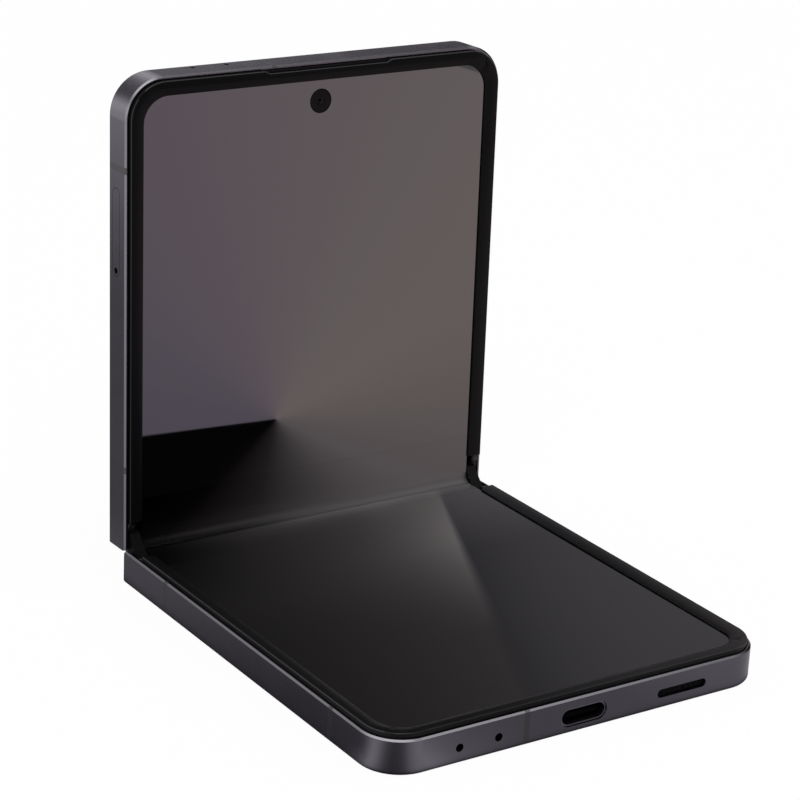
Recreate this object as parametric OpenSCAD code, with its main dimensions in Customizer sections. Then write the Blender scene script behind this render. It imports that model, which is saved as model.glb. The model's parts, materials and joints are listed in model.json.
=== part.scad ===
// Clamshell phone with a folding inner display, standing half open.
// Each half is drawn flat: x across the width, y away from its own hinge axis,
// z from the hinge axis towards the display. The places below put it in the world.

/* [Body] */
// Width across the phone, along the fold
body_w = 75.2; // [70:0.1:80]
// Length of one half, fold to far edge
half_l = 83.35; // [80:0.05:90]
// Thickness of one half without its raised bezel
frame_t = 6.25; // [5.9:0.05:6.4]
// Corner radius in plan
corner_r = 7; // [6:0.1:9]
// Wall of the metal frame
wall_t = 1.9; // [1.8:0.05:2.1]
// Width of the frame's rim outside the back glass
rim_w = 0.95; // [0.8:0.05:1.1]
// Width of the frame's rim outside the bezel
front_rim_w = 0.5; // [0.45:0.05:0.8]
// Depth of that rim below the frame's front plane
rim_drop = 0.2; // [0.1:0.02:0.3]
// Chamfer along the front edge of the frame
front_chamfer = 0.28; // [0.15:0.01:0.35]
// Rounding along the back edge of the frame
back_round = 0.7; // [0.4:0.05:0.9]
// Thickness of the plate across the middle of each frame
plate_t = 1.05; // [0.8:0.05:1.2]
// Opening angle between the two halves as stored
opening = 91; // [80:1:150]

/* [Display] */
// Height of the raised bezel above the frame's front plane
bezel_rise = 0.7; // [0.3:0.05:0.75]
// Border from the side of the phone to the lit area
border = 3.24; // [3:0.02:3.8]
// Groove between the frame's rim and the bezel
bezel_groove = 0.15; // [0.1:0.05:0.25]
// Distance from the hinge axis at which the raised bezel starts
bezel_start = 3.4; // [3:0.1:5]
// Thickness of the display where it lies on the frame
panel_t = 0.75; // [0.6:0.05:0.8]
// Thickness of the display where it folds
fold_t = 0.45; // [0.3:0.05:0.5]
// Depth of the display's surface below the frame's front
panel_drop = 0.05; // [0.02:0.01:0.1]
// Radius of the display's surface in the fold
fold_r = 1.6; // [1:0.1:3]
// Distance from the hinge axis at which the flat display starts
panel_start = 7.4; // [7.2:0.1:9]
// Radius of the display's corners
panel_corner_r = 4.6; // [3:0.1:6]
// Diameter of the hole for the inner camera
selfie_d = 4.3; // [3.5:0.1:5]
// Distance of the inner camera from the far edge
selfie_in = 6.9; // [6:0.1:9]

/* [Hinge] */
// Distance between the two hinge axes
axis_gap = 4.1; // [4:0.02:4.3]
// Depth of the hinge axes below the frame's front
axis_drop = 1.25; // [1.2:0.01:1.3]
// Gap between the two halves at 180 degrees
half_gap = 0.1; // [0.06:0.02:0.2]
// Outer radius of the spine cover about each axis
spine_r = 4.2; // [4.1:0.02:4.25]
// Wall of the spine cover
spine_wall = 0.45; // [0.35:0.05:0.45]
// Clearance between the spine cover and the halves
spine_clear = 0.12; // [0.08:0.02:0.15]
// Radius of the hinge pins
pin_r = 0.42; // [0.35:0.01:0.45]
// Radial clearance of the pins and axles in their bores
pin_clear = 0.03; // [0.02:0.01:0.05]
// Outer radius of the knuckles
knuckle_r = 0.7; // [0.62:0.01:0.7]
// Module of the synchronising gears
gear_module = 0.16; // [0.155:0.001:0.16]
// Distance of each hinge module from the phone's side
module_in = 12.6; // [11.6:0.5:15.6]

/* [Ports and keys] */
// Width of the charging port's opening in the frame
port_w = 8.95; // [8.9:0.05:9.4]
// Height of the charging port's opening in the frame
port_h = 3.16; // [3.12:0.02:3.3]
// Length of the speaker slot
speaker_slot_l = 9.96; // [8:0.02:12]
// Width of the speaker slot
speaker_slot_w = 1.5; // [1:0.1:2]
// Diameter of the microphone holes
mic_d = 1.4; // [0.8:0.1:1.6]
// Length of the card tray's face
tray_face_l = 15.3; // [14.6:0.1:17]
// Height of the card tray's face
tray_face_h = 2.45; // [2.2:0.05:2.6]
// Diameter of the hole for the tray's pin
pin_hole_d = 1.1; // [0.8:0.1:1.2]
// Length of the volume rocker
rocker_l = 17.8; // [14:0.1:22]
// Length of the side key
key_l = 11; // [8:0.1:12]
// Height of the keys
key_h = 2; // [1.8:0.05:2.2]
// Height of the keys above the frame's side
key_proud = 0.35; // [0.2:0.05:0.5]
// Clearance round the keys, the tray and what sits in the frame
fit_clear = 0.08; // [0.05:0.01:0.1]
// Outer diameter of the rear camera rings
ring_d = 12.6; // [11:0.1:13]
// Height of the rear camera rings above the back glass
ring_proud = 1.2; // [0.5:0.1:1.6]
// Thickness of the back glass
glass_t = 0.5; // [0.4:0.05:0.5]

/* [Hidden] */
$fn = 64;
fold = (180 - opening) / 2;
half_axis = axis_gap / 2;
end_u = half_gap / 2 - half_axis;
far_u = half_l - half_axis;
front_n = axis_drop;
back_n = axis_drop - frame_t;
axis_y = (far_u + end_u) / 2;
axis_z = -back_n;
side_x = body_w / 2;
rim_n = front_n - rim_drop;
module_x = side_x - module_in;

panel_top = front_n - panel_drop;
ledge_n = panel_top - panel_t;
plate_n = ledge_n - plate_t;
glass_n = back_n + glass_t;
lit_x = side_x - border;
// Overlap of the pieces that make up one solid
seam = 0.15;
panel_clear = 0.1;
panel_x = side_x - wall_t - 2 * panel_clear;
foot_in = front_rim_w + bezel_groove;
foot_w = wall_t + panel_clear - foot_in;
bezel_lift = 0.05;
edge_mid = (front_n + back_n) / 2 - 0.35;

cavity_r = spine_r + spine_clear;
rail_end = panel_start - 0.4;
glass_start = cavity_r + 0.7;
spine_w = body_w - 2 * wall_t - 0.3;
inner_r = spine_r - spine_wall;
// Inner face of the spine cover's end walls
spine_end = spine_w / 2 - 0.8;
spine_top = -0.1;

band_w = 1.2;
end_band_w = 1;
band_near_u = 13;
band_far_u = far_u - 15.4;
lower_band_x = -11.2;
upper_band_x = -9.24;

cap_r = 1.35;
cap_in = 0.15;
cap_clear = 0.15;
pocket_r = cap_r + cap_clear;
strip_x = lit_x - 0.01;
cap_inner_x = strip_x + cap_in;
cap_outer_x = side_x - rim_w - 0.1;

arm_t = 0.4;
arm_gap = 0.02;
support_t = 0.3;
support_n = arm_t + arm_gap;
support_start = knuckle_r + 0.2;

idler_teeth = 10;
sector_teeth = 24;
idler_r = gear_module * idler_teeth / 2;
sector_r = gear_module * sector_teeth / 2;
idler_y = [-3 * idler_r, -idler_r, idler_r, 3 * idler_r];
idler_off = 3 * idler_r - half_axis;
idler_z = -sqrt(pow(sector_r + idler_r, 2) - pow(idler_off, 2));
mesh_dir = 180 + atan2(-idler_z, idler_off);
gear_ratio = sector_teeth / idler_teeth;
tooth_gap = 0.02;
gear_w = 1.2;
gear_step = gear_w + 0.2;
lug_w = 1.4;
barrel_x = -5.1;
barrel_l = 8.8;
lug_gap = 0.1;
axle_r = 0.25;

camera_x = [side_x - 10.6, side_x - 25.2];
camera_u = far_u - 10.8;
flash_x = camera_x[1] - 9.2;
flash_u = camera_u + 3.1;
selfie_u = far_u - selfie_in;
slot_x0 = -11.5;
slot_x1 = 13.9;
slot_w = 0.45;
receiver_x = 4.6;
receiver_u = far_u - 5.1;
tray_u = far_u - 26.57;
tray_plate_l = 21;
tray_half = tray_face_l / 2 - 1.25;
rocker_u = far_u - 27;
key_u = rocker_u - 19.5;
battery_x = side_x - 6.6;
battery_top = plate_n - 0.05;
board_n = plate_n - 0.05;
board_t = 0.7;
board_x = side_x - 3.6;
board_gap = 0.3;
board_end = far_u - wall_t - board_gap;
board_u = board_end - 15.6;
upper_board_u = board_end - 38.6;
motor_x = -board_x + 4.4;
motor_u = board_u + 3.9;
motor_d = 9;
sub_screw_x = [-21, 8];
sub_screw_u = board_u + 2.5;
main_screw_x = battery_x;
main_screw_u = upper_board_u + 3.5;
speaker_x = 19.65;
speaker_in = speaker_x - 7.65;
mic_x = [-23.8, -16.5];
top_mic_x = [-22.8, -16.25];
top_mic_n = -3.05;
port_n = edge_mid;

// ---- places -------------------------------------------------------------

module in_lower() {
    translate([0, axis_y, axis_z]) mirror([0, 1, 0]) children();
}

module in_spine() {
    translate([0, axis_y, axis_z]) rotate([fold, 0, 0]) translate([0, half_axis, 0]) children();
}

module in_upper() {
    in_spine() translate([0, half_axis, 0]) rotate([fold, 0, 0]) children();
}

// A flat shape in (y, z), carried along x from x0 to x1
module along_x(x0, x1) {
    translate([x0, 0, 0]) rotate([90, 0, 90]) linear_extrude(x1 - x0) children();
}

// A flat shape in (x, z), carried along y from u0 to u1
module along_u(u0, u1) {
    translate([0, u1, 0]) rotate([90, 0, 0]) linear_extrude(u1 - u0) children();
}

module box(x0, x1, u0, u1, n0, n1) {
    translate([x0, u0, n0]) cube([x1 - x0, u1 - u0, n1 - n0]);
}

module both_sides() {
    children();
    mirror([1, 0, 0]) children();
}

// A slot with round ends, centred, its length along x
module slot_2d(l, w) {
    square([l - w, w], center = true);
    for (s = [-1, 1]) translate([s * (l - w) / 2, 0]) circle(d = w);
}

// Plan of a plate that is inset from the phone's sides, round at the far corners
module plan_2d(inset, u0, r) {
    x = side_x - inset;
    u1 = far_u - inset;
    translate([-x, u0]) square([2 * x, u1 - r - u0]);
    translate([-x + r, u0]) square([2 * (x - r), u1 - u0]);
    for (s = [-1, 1]) translate([s * (x - r), u1 - r]) circle(r);
}

// Plan of a board that fills the frame's inside from x0 to x1, round where the frame is
module board_2d(x0, x1, u0) {
    intersection() {
        plan_2d(wall_t + board_gap, u0, corner_r - wall_t - board_gap);
        translate([x0, u0]) square([x1 - x0, far_u]);
    }
}

// ---- halves -------------------------------------------------------------

// Section of the frame's wall: x is the distance in from the outer face
module wall_2d() {
    polygon([
        [0, back_n + back_round],
        [0, rim_n - front_chamfer],
        [front_chamfer, rim_n],
        [front_rim_w, rim_n],
        [front_rim_w, ledge_n],
        [wall_t, ledge_n],
        [wall_t, glass_n],
        [rim_w, glass_n],
        [rim_w, back_n],
        [back_round, back_n]
    ]);
    translate([back_round, back_n + back_round]) intersection() {
        circle(back_round);
        translate([-back_round, -back_round]) square(back_round);
    }
}

module frame_ring() {
    both_sides() {
        translate([-side_x, 0, 0]) along_u(end_u, far_u - corner_r) wall_2d();
        translate([corner_r - side_x, far_u - corner_r, 0]) rotate([0, 0, 90])
            rotate_extrude(angle = 90) translate([corner_r, 0]) mirror([1, 0]) wall_2d();
    }
    translate([0, far_u, 0]) rotate([0, 0, -90]) along_u(corner_r - side_x, side_x - corner_r) wall_2d();
}

// Slots that split the frame for its antennas
module band_slots(end_x) {
    for (u = [band_near_u, band_far_u]) {
        both_sides() box(-side_x - 1, wall_t - side_x, u - band_w / 2, u + band_w / 2, back_n - 1, front_n + 1);
    }
    box(end_x - end_band_w / 2, end_x + end_band_w / 2, far_u - wall_t, far_u + 1, back_n - 1, front_n + 1);
}

// What the fold takes away from the end of a half
module hinge_end_cut() {
    along_x(-side_x - 1, side_x + 1) {
        difference() {
            translate([end_u - 1, 0]) square([1 - end_u, front_n + 1]);
            circle(-end_u);
        }
        translate([end_u, back_n]) difference() {
            translate([-0.5, -0.5]) square([0.5 + back_round, 0.5 + back_round]);
            translate([back_round, back_round]) circle(back_round);
        }
    }
    both_sides() box(cap_inner_x, side_x - rim_w, end_u - 1, pocket_r, -pocket_r, front_n + 1);
}

// Cross rail beside the spine, with the round hollow that the spine cover turns in
module hinge_rail() {
    along_x(wall_t - seam - side_x, side_x - wall_t + seam) difference() {
        translate([end_u, back_n]) square([rail_end + seam - end_u, -back_n]);
        circle(cavity_r, $fn = 128);
        translate([end_u - 1, -cavity_r]) square([1 - end_u, cavity_r]);
        translate([glass_start - fit_clear, back_n - 1]) square([rail_end, 1 + glass_t]);
    }
    both_sides() box(side_x - wall_t - seam, side_x - back_round, end_u, glass_start - fit_clear, back_n, glass_n + seam);
}

module frame_plate() {
    translate([0, 0, plate_n]) linear_extrude(plate_t)
        plan_2d(wall_t - seam, rail_end, corner_r - wall_t + seam);
}

module frame_body(end_x) {
    difference() {
        union() {
            frame_ring();
            hinge_rail();
            frame_plate();
        }
        band_slots(end_x);
        hinge_end_cut();
    }
}

module antenna_bands(end_x) {
    intersection() {
        frame_ring();
        band_slots(end_x);
    }
}

// Holes for the screws that hold the hinge arms
module arm_screw_places() {
    for (s = [-1, 1]) for (dx = [-2.6, 1.4])
        translate([s * (module_x + dx), cavity_r + 1.3, 0]) children();
}

module arm_screw_holes() {
    arm_screw_places() translate([0, 0, -2.2]) cylinder(r = 0.5, h = 3);
}

module arm_screws() {
    arm_screw_places() {
        translate([0, 0, -1.9]) cylinder(r = 0.48, h = 2.1);
        translate([0, 0, 0.18]) cylinder(r = 0.85, h = 0.2);
    }
}

// Raised bezel: a rim over the display's edge, with a foot on the frame's ledge
module bezel() {
    r = corner_r - foot_in;
    difference() {
        union() {
            translate([0, 0, front_n + bezel_lift - 0.05]) linear_extrude(bezel_rise + 0.05 - bezel_lift)
                plan_2d(foot_in, bezel_start, r);
            translate([0, 0, ledge_n]) linear_extrude(front_n - ledge_n)
                plan_2d(foot_in, pocket_r + 0.1, r);
        }
        translate([0, 0, ledge_n - 1]) linear_extrude(panel_top + bezel_lift - ledge_n + 1)
            plan_2d(foot_in + foot_w, -1, r - foot_w);
        translate([0, 0, ledge_n]) linear_extrude(4) plan_2d(border, -1, panel_corner_r);
        both_sides() box(cap_inner_x - 1, side_x, -1, bezel_start, front_n - 0.15, front_n + 2);
    }
}

module display_panel() {
    translate([0, 0, ledge_n]) linear_extrude(panel_t)
        plan_2d(side_x - panel_x, panel_start, corner_r - (side_x - panel_x));
}

module back_glass_plate() {
    inset = rim_w + fit_clear;
    translate([0, 0, back_n]) linear_extrude(glass_t)
        plan_2d(inset, glass_start, corner_r - inset);
}

module support_plate() {
    x = strip_x - 0.2;
    box(-x, x, support_start, rail_end - 0.1, support_n, support_n + support_t - 0.02);
}

// Tooth of a gear as a flat shape pointing along x, for pitch radius r and n teeth
module tooth_2d(r, n) {
    half_p = r * sin(90 / n) - tooth_gap;
    root = r - 1.25 * gear_module;
    tip = r + gear_module;
    polygon([
        [root - 0.05, -half_p * 1.5],
        [root, -half_p * 1.45],
        [tip, -half_p * 0.5],
        [tip, half_p * 0.5],
        [root, half_p * 1.45],
        [root - 0.05, half_p * 1.5]
    ]);
}

// Toothed sector that turns with a half, in (y, z) about its hinge axis
module sector_2d(phase) {
    step = 360 / sector_teeth;
    root = sector_r - 1.25 * gear_module;
    first = 180 - mesh_dir + step + phase;
    last = first - 8 * step;
    intersection() {
        circle(root);
        polygon([
            [0, 0],
            4 * [cos(first + step / 2), sin(first + step / 2)],
            4 * [cos((first + last) / 2 + 35), sin((first + last) / 2 + 35)],
            4 * [cos((first + last) / 2 - 35), sin((first + last) / 2 - 35)],
            4 * [cos(last - step / 2), sin(last - step / 2)]
        ]);
    }
    for (k = [0:8]) rotate(first - k * step) tooth_2d(sector_r, sector_teeth);
}

// Hinge arms of one half: a pin and a barrel on the axis, a toothed sector and a plate
module hinge_arms(sector_at, phase) {
    x0 = barrel_x;
    x1 = barrel_x + barrel_l;
    for (s = [-1, 1]) translate([s * module_x, 0, 0]) difference() {
        union() {
            along_x(x0 - lug_gap - lug_w, x1 + lug_gap + lug_w + 1.6) circle(pin_r);
            along_x(x0, x1) circle(knuckle_r);
            along_x(x0, x1) translate([0, 0]) square([rail_end - 0.2, arm_t]);
            along_x(x0 + sector_at * gear_step, x0 + sector_at * gear_step + gear_w) sector_2d(phase);
        }
        for (dx = [-2.6, 1.4]) translate([s * dx, cavity_r + 1.3, -1]) {
            cylinder(r = 0.52, h = 3);
            translate([0, 0, 1.16]) cylinder(r = 0.9, h = 1);
        }
    }
}

// ---- lower half ---------------------------------------------------------

module lower_frame() {
    color([0.23, 0.23, 0.25]) in_lower() difference() {
        frame_body(lower_band_x);
        arm_screw_holes();
        translate([0, 0, port_n]) along_u(far_u - wall_t - 1, far_u + 1) slot_2d(port_w, port_h);
        translate([speaker_x, 0, port_n]) along_u(far_u - wall_t - 1, far_u + 1)
            slot_2d(speaker_slot_l, speaker_slot_w);
        for (x = mic_x) translate([x, 0, port_n]) along_u(far_u - wall_t - 1, far_u + 1) circle(d = mic_d);
    }
}

module lower_antenna_bands() {
    color([0.3, 0.3, 0.32]) in_lower() antenna_bands(lower_band_x);
}

module lower_bezel() {
    color([0.09, 0.09, 0.1]) in_lower() bezel();
}

module lower_display() {
    color([0.02, 0.02, 0.03]) in_lower() display_panel();
}

module lower_back_glass() {
    color([0.2, 0.2, 0.22]) in_lower() back_glass_plate();
}

module lower_battery() {
    color([0.1, 0.1, 0.11]) in_lower() difference() {
        box(-battery_x, battery_x, rail_end + 1.5, board_u - 1.5, glass_n + 0.45, battery_top);
        for (s = [-1, 1]) translate([s * battery_x, board_u - 1.5, 0]) box(-1.5, 1.5, -1.5, 1, glass_n, 0);
    }
}

module sub_board() {
    color([0.05, 0.25, 0.15]) in_lower() difference() {
        translate([0, 0, board_n - board_t]) linear_extrude(board_t) board_2d(-board_x, speaker_in - 1, board_u);
        translate([motor_x, motor_u, board_n - 2]) cylinder(d = motor_d + 0.4, h = 3);
        box(-side_x, motor_x, board_u - 1, motor_u, board_n - 2, board_n + 1);
        box(-shell_w / 2 - 0.1, shell_w / 2 + 0.1, usb_back - 0.1, far_u, board_n - 2, board_n + 1);
        for (x = sub_screw_x) translate([x, sub_screw_u, board_n - 2]) cylinder(r = 0.75, h = 3);
    }
}

module sub_board_screws() {
    color([0.6, 0.6, 0.62]) in_lower() for (x = sub_screw_x) translate([x, sub_screw_u, 0]) {
        translate([0, 0, board_n - board_t - 0.5]) cylinder(r = 1.2, h = 0.5);
        translate([0, 0, board_n - board_t]) cylinder(r = 0.68, h = board_t);
    }
}

usb_back = far_u - 7.6;
usb_front = far_u - 0.3;
shell_w = port_w - 0.1;
shell_h = port_h - 0.2;

module usb_shell() {
    color([0.62, 0.62, 0.64]) in_lower() translate([0, 0, port_n]) {
        difference() {
            along_u(usb_back, usb_front) slot_2d(shell_w, shell_h);
            along_u(usb_back + 0.4, usb_front + 1) slot_2d(8.34, 2.56);
        }
    }
}

module usb_tongue() {
    color([0.08, 0.08, 0.09]) in_lower() {
        box(-3.35, 3.35, usb_back + 0.4, usb_front - 0.7, port_n - 0.35, port_n + 0.35);
    }
}

module speaker_module() {
    color([0.12, 0.12, 0.13]) in_lower() difference() {
        translate([0, 0, glass_n + 0.1]) linear_extrude(board_n - glass_n - 0.1)
            board_2d(speaker_in, board_x, board_u);
        translate([speaker_x, 0, port_n]) along_u(far_u - wall_t - 3, far_u)
            slot_2d(speaker_slot_l - 1, speaker_slot_w - 0.3);
    }
}

module speaker_mesh() {
    pitch = 1.1;
    count = floor((speaker_slot_l - 1.4) / pitch / 2);
    color([0.05, 0.05, 0.05]) in_lower() translate([speaker_x, 0, port_n])
        along_u(far_u - 1, far_u - 0.75) difference() {
            slot_2d(speaker_slot_l - 2 * fit_clear, speaker_slot_w - 2 * fit_clear);
            for (i = [-count:count]) for (j = [-1, 1])
                translate([i * pitch + j * pitch / 4, j * 0.3]) circle(d = 0.34);
        }
}

module bottom_microphones() {
    color([0.7, 0.6, 0.3]) in_lower() for (x = mic_x)
        box(x - 1.4, x + 1.4, far_u - wall_t - 1.9, far_u - wall_t - 0.15, port_n - 1.1, board_n - board_t);
}

module vibration_motor() {
    color([0.5, 0.5, 0.52]) in_lower() translate([motor_x, motor_u, board_n - 2.9])
        cylinder(d = motor_d, h = 2.9);
}

module charging_coil() {
    color([0.65, 0.4, 0.22]) in_lower() translate([0, (rail_end + board_u) / 2, glass_n + 0.05]) difference() {
        cylinder(r = 21, h = 0.35);
        translate([0, 0, -1]) cylinder(r = 10.5, h = 3);
    }
}

module lower_support_plate() {
    color([0.4, 0.4, 0.42]) in_lower() support_plate();
}

module lower_hinge_arms() {
    color([0.55, 0.55, 0.57]) in_lower() hinge_arms(0, 0);
}

module lower_arm_screws() {
    color([0.7, 0.7, 0.72]) in_lower() arm_screws();
}

// ---- spine --------------------------------------------------------------

// Outer outline of the spine at radius r about both axes, below the height top
module spine_2d(r, top) {
    intersection() {
        union() {
            for (s = [-1, 1]) translate([s * half_axis, 0]) circle(r, $fn = 128);
            translate([-half_axis, -r]) square([axis_gap, r]);
        }
        translate([-half_axis - r - 1, -r - 1]) square([axis_gap + 2 * r + 2, r + 1 + top]);
    }
}

module spine_cover() {
    color([0.22, 0.22, 0.24]) in_spine() difference() {
        along_x(-spine_w / 2, spine_w / 2) spine_2d(spine_r, spine_top);
        along_x(-spine_end, spine_end) spine_2d(inner_r, 1);
        both_sides() box(cap_inner_x, spine_w, -2 * half_axis, 2 * half_axis, -pocket_r - 0.6, 1);
        base_screw_holes();
    }
}

module base_screw_places() {
    for (s = [-1, 1]) for (dx = [0.6, 3.4]) translate([s * module_x + dx, 0, 0]) children();
}

module base_screw_holes() {
    base_screw_places() translate([0, 0, -inner_r - 0.25]) cylinder(r = 0.42, h = 1);
}

module base_screws() {
    color([0.7, 0.7, 0.72]) in_spine() base_screw_places() {
        translate([0, 0, -inner_r - 0.22]) cylinder(r = 0.4, h = 1.8);
        translate([0, 0, -inner_r + 1.5]) cylinder(r = 0.75, h = 0.25);
    }
}

// Bases of the two hinge modules: a block on the cover's floor, four lugs and the gear bay
module hinge_bases() {
    x0 = barrel_x - lug_gap - lug_w;
    x1 = barrel_x + barrel_l + lug_gap + lug_w;
    bay0 = barrel_x - 0.1;
    bay1 = barrel_x + 3 * gear_step + 0.1;
    floor_n = 0.02 - inner_r;
    block_w = 4.7;
    rail_w = 0.46;
    rail_y = 3 * idler_r + idler_r + gear_module + 0.3;
    color([0.45, 0.45, 0.47]) in_spine() for (s = [-1, 1]) translate([s * module_x, 0, 0]) difference() {
        union() {
            box(x0, x1, -block_w / 2, block_w / 2, floor_n, -2.25);
            for (at = [x0, x1 - lug_w]) for (t = [-1, 1]) along_x(at, at + lug_w) {
                translate([t * half_axis, 0]) circle(knuckle_r);
                translate([t * half_axis - knuckle_r, -2.4]) square([2 * knuckle_r, 2.4]);
            }
            along_x(x0, x0 + lug_w) translate([-rail_y, -3.2]) square([2 * rail_y, 1.3]);
            along_x(bay1, bay1 + 0.9) translate([-rail_y, -3.2]) square([2 * rail_y, 1.3]);
            for (t = [-1, 1]) along_x(x0, bay1 + 0.9)
                translate([t * rail_y - rail_w / 2, -3.1]) square([rail_w, 0.9]);
        }
        box(bay0, bay1, rail_w / 2 - rail_y, rail_y - rail_w / 2, -4, 2);
        for (t = [-1, 1]) along_x(-10, 10) translate([t * half_axis, 0]) circle(pin_r + pin_clear);
        for (y = idler_y) along_x(bay0 - 0.8, bay1 + 0.6) translate([y, idler_z]) circle(axle_r + pin_clear);
        for (dx = [0.6, 3.4]) translate([dx, 0, -5]) {
            cylinder(r = 0.45, h = 8);
            translate([0, 0, 5 - inner_r + 1.47]) cylinder(r = 0.8, h = 4);
        }
    }
}

module hinge_end_caps() {
    color([0.07, 0.07, 0.08]) in_spine() both_sides() {
        along_x(cap_inner_x, cap_outer_x) {
            for (s = [-1, 1]) translate([s * half_axis, 0]) circle(cap_r);
            translate([-half_axis, -cap_r]) square([axis_gap, 2 * cap_r - 0.25]);
        }
        box(cap_inner_x - 0.6, spine_end - 0.05, -1.6, 1.6, 0.02 - inner_r, -0.4);
    }
}

// Friction washers on the pins, outside the second lug
module disc_springs() {
    x = barrel_x + barrel_l + lug_gap + lug_w + 0.05;
    color([0.6, 0.6, 0.55]) in_spine() for (s = [-1, 1]) for (t = [-1, 1]) for (k = [0:2])
        translate([s * module_x, t * half_axis, 0]) along_x(x + k * 0.32, x + k * 0.32 + 0.28) difference() {
            circle(knuckle_r);
            circle(pin_r + pin_clear);
        }
}

module retaining_clips() {
    x = barrel_x + barrel_l + lug_gap + lug_w + 0.05 + 3 * 0.32 + 0.02;
    color([0.75, 0.75, 0.77]) in_spine() for (s = [-1, 1]) for (t = [-1, 1])
        translate([s * module_x, t * half_axis, 0]) along_x(x, x + 0.3) difference() {
            circle(knuckle_r);
            circle(pin_r + pin_clear);
        }
}

// Section of a strip that lies on both halves and bends round the fold, in the spine's
// place: from height n0 to n1, out to u1 on each half, with radius r inside the bend
module bent_2d(u1, n0, n1, r) {
    steps = 24;
    centre = (n1 + r - half_axis * sin(fold)) / cos(fold);
    outer = r + n1 - n0;
    end_y = half_axis + u1 * cos(fold);
    end_z = u1 * sin(fold);
    low = [end_y - n0 * sin(fold), end_z + n0 * cos(fold)];
    high = [end_y - n1 * sin(fold), end_z + n1 * cos(fold)];
    polygon(concat(
        [for (i = [0:steps]) let (a = fold * (2 * i / steps - 1)) [outer * sin(a), centre - outer * cos(a)]],
        [low, high],
        [for (i = [0:steps]) let (a = fold * (1 - 2 * i / steps)) [r * sin(a), centre - r * cos(a)]],
        [[-high[0], high[1]], [-low[0], low[1]]]
    ));
}

module display_fold() {
    color([0.02, 0.02, 0.03]) in_spine() along_x(-strip_x, strip_x)
        bent_2d(panel_start - 0.02, panel_top - fold_t, panel_top, fold_r);
}

module hinge_flex_cables() {
    color([0.5, 0.3, 0.12]) in_spine() for (x = [-9, 3]) along_x(x, x + 6)
        bent_2d(rail_end - 0.1, 0.06, 0.2, 3);
}

// ---- gear train ---------------------------------------------------------

function idler_phase(k) = k % 2 == 0 ? mesh_dir - 180 + 180 / idler_teeth : 360 / idler_teeth * 5.5 - mesh_dir + 180 - 180 / idler_teeth;

// Which of the three gear planes an idler reaches: the outer ones also meet a sector
function idler_from(k) = k == 0 ? 0 : 1;
function idler_to(k) = k == 3 ? 2 : 1;

module idler_gear(k) {
    turn = (k % 2 == 0 ? 1 : -1) * gear_ratio * fold;
    g0 = barrel_x + idler_from(k) * gear_step;
    g1 = barrel_x + idler_to(k) * gear_step + gear_w;
    color([0.75, 0.7, 0.45]) in_spine() for (s = [-1, 1])
        translate([s * module_x, idler_y[k], idler_z]) rotate([idler_phase(k) + turn, 0, 0]) {
            along_x(g0, g1) {
                circle(idler_r - 1.2 * gear_module);
                for (i = [0:idler_teeth - 1]) rotate(i * 360 / idler_teeth) tooth_2d(idler_r, idler_teeth);
            }
            along_x(barrel_x - 0.85, barrel_x + 3 * gear_step + 0.65) circle(axle_r);
        }
}

module idler_gear_1() { idler_gear(0); }
module idler_gear_2() { idler_gear(1); }
module idler_gear_3() { idler_gear(2); }
module idler_gear_4() { idler_gear(3); }

// ---- upper half ---------------------------------------------------------

module upper_frame() {
    color([0.23, 0.23, 0.25]) in_upper() difference() {
        frame_body(upper_band_x);
        arm_screw_holes();
        translate([0, selfie_u, plate_n - 1]) cylinder(d = selfie_d, h = 4);
        for (x = top_mic_x) translate([x, 0, top_mic_n]) along_u(far_u - wall_t - 1, far_u + 1) circle(d = mic_d * 0.6);
        tray_hole();
        key_hole(rocker_u, rocker_l);
        key_hole(key_u, key_l);
        box(slot_x0, slot_x1, far_u - foot_in - slot_w, far_u - foot_in, plate_n - 1, front_n + 1);
    }
}

module tray_hole() {
    along_x(-side_x - 1, wall_t - side_x + 1) translate([tray_u, edge_mid])
        slot_2d(tray_face_l + 2 * fit_clear, tray_face_h + 2 * fit_clear);
}

module key_hole(u, l) {
    box(side_x - wall_t - 1, side_x + 1, u - l / 2 - fit_clear, u + l / 2 + fit_clear,
        edge_mid - key_h / 2 - fit_clear, edge_mid + key_h / 2 + fit_clear);
}

module upper_antenna_bands() {
    color([0.3, 0.3, 0.32]) in_upper() antenna_bands(upper_band_x);
}

module upper_bezel() {
    color([0.09, 0.09, 0.1]) in_upper() difference() {
        bezel();
        box(slot_x0, slot_x1, far_u - foot_in - slot_w, far_u, ledge_n - 1, front_n + 2);
    }
}

module upper_display() {
    color([0.02, 0.02, 0.03]) in_upper() difference() {
        display_panel();
        translate([0, selfie_u, ledge_n - 1]) cylinder(d = selfie_d, h = 4);
    }
}

module camera_places() {
    for (x = camera_x) translate([x, camera_u, 0]) children();
}

ring_hole_r = ring_d / 2 - 0.5;
lens_r = ring_d / 2 - 1.1;

module upper_back_glass() {
    color([0.05, 0.05, 0.06]) in_upper() difference() {
        back_glass_plate();
        camera_places() translate([0, 0, back_n - 1]) cylinder(r = ring_hole_r + fit_clear, h = 3);
        translate([flash_x, flash_u, back_n - 1]) cylinder(r = 1.7 + fit_clear, h = 3);
    }
}

module cover_display() {
    inset = wall_t + 0.5;
    color([0.03, 0.03, 0.04]) in_upper() difference() {
        translate([0, 0, glass_n + 0.02]) linear_extrude(0.4) plan_2d(inset, rail_end + 0.5, corner_r - inset);
        camera_places() translate([0, 0, back_n]) cylinder(r = ring_hole_r + 0.2, h = 3);
        translate([flash_x, flash_u, back_n]) cylinder(r = 2.1, h = 3);
    }
}

module upper_battery() {
    color([0.1, 0.1, 0.11]) in_upper()
        box(-battery_x, battery_x, rail_end + 1.5, upper_board_u - 1.5, glass_n + 0.5, battery_top);
}

camera_half = 4.2;

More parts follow.
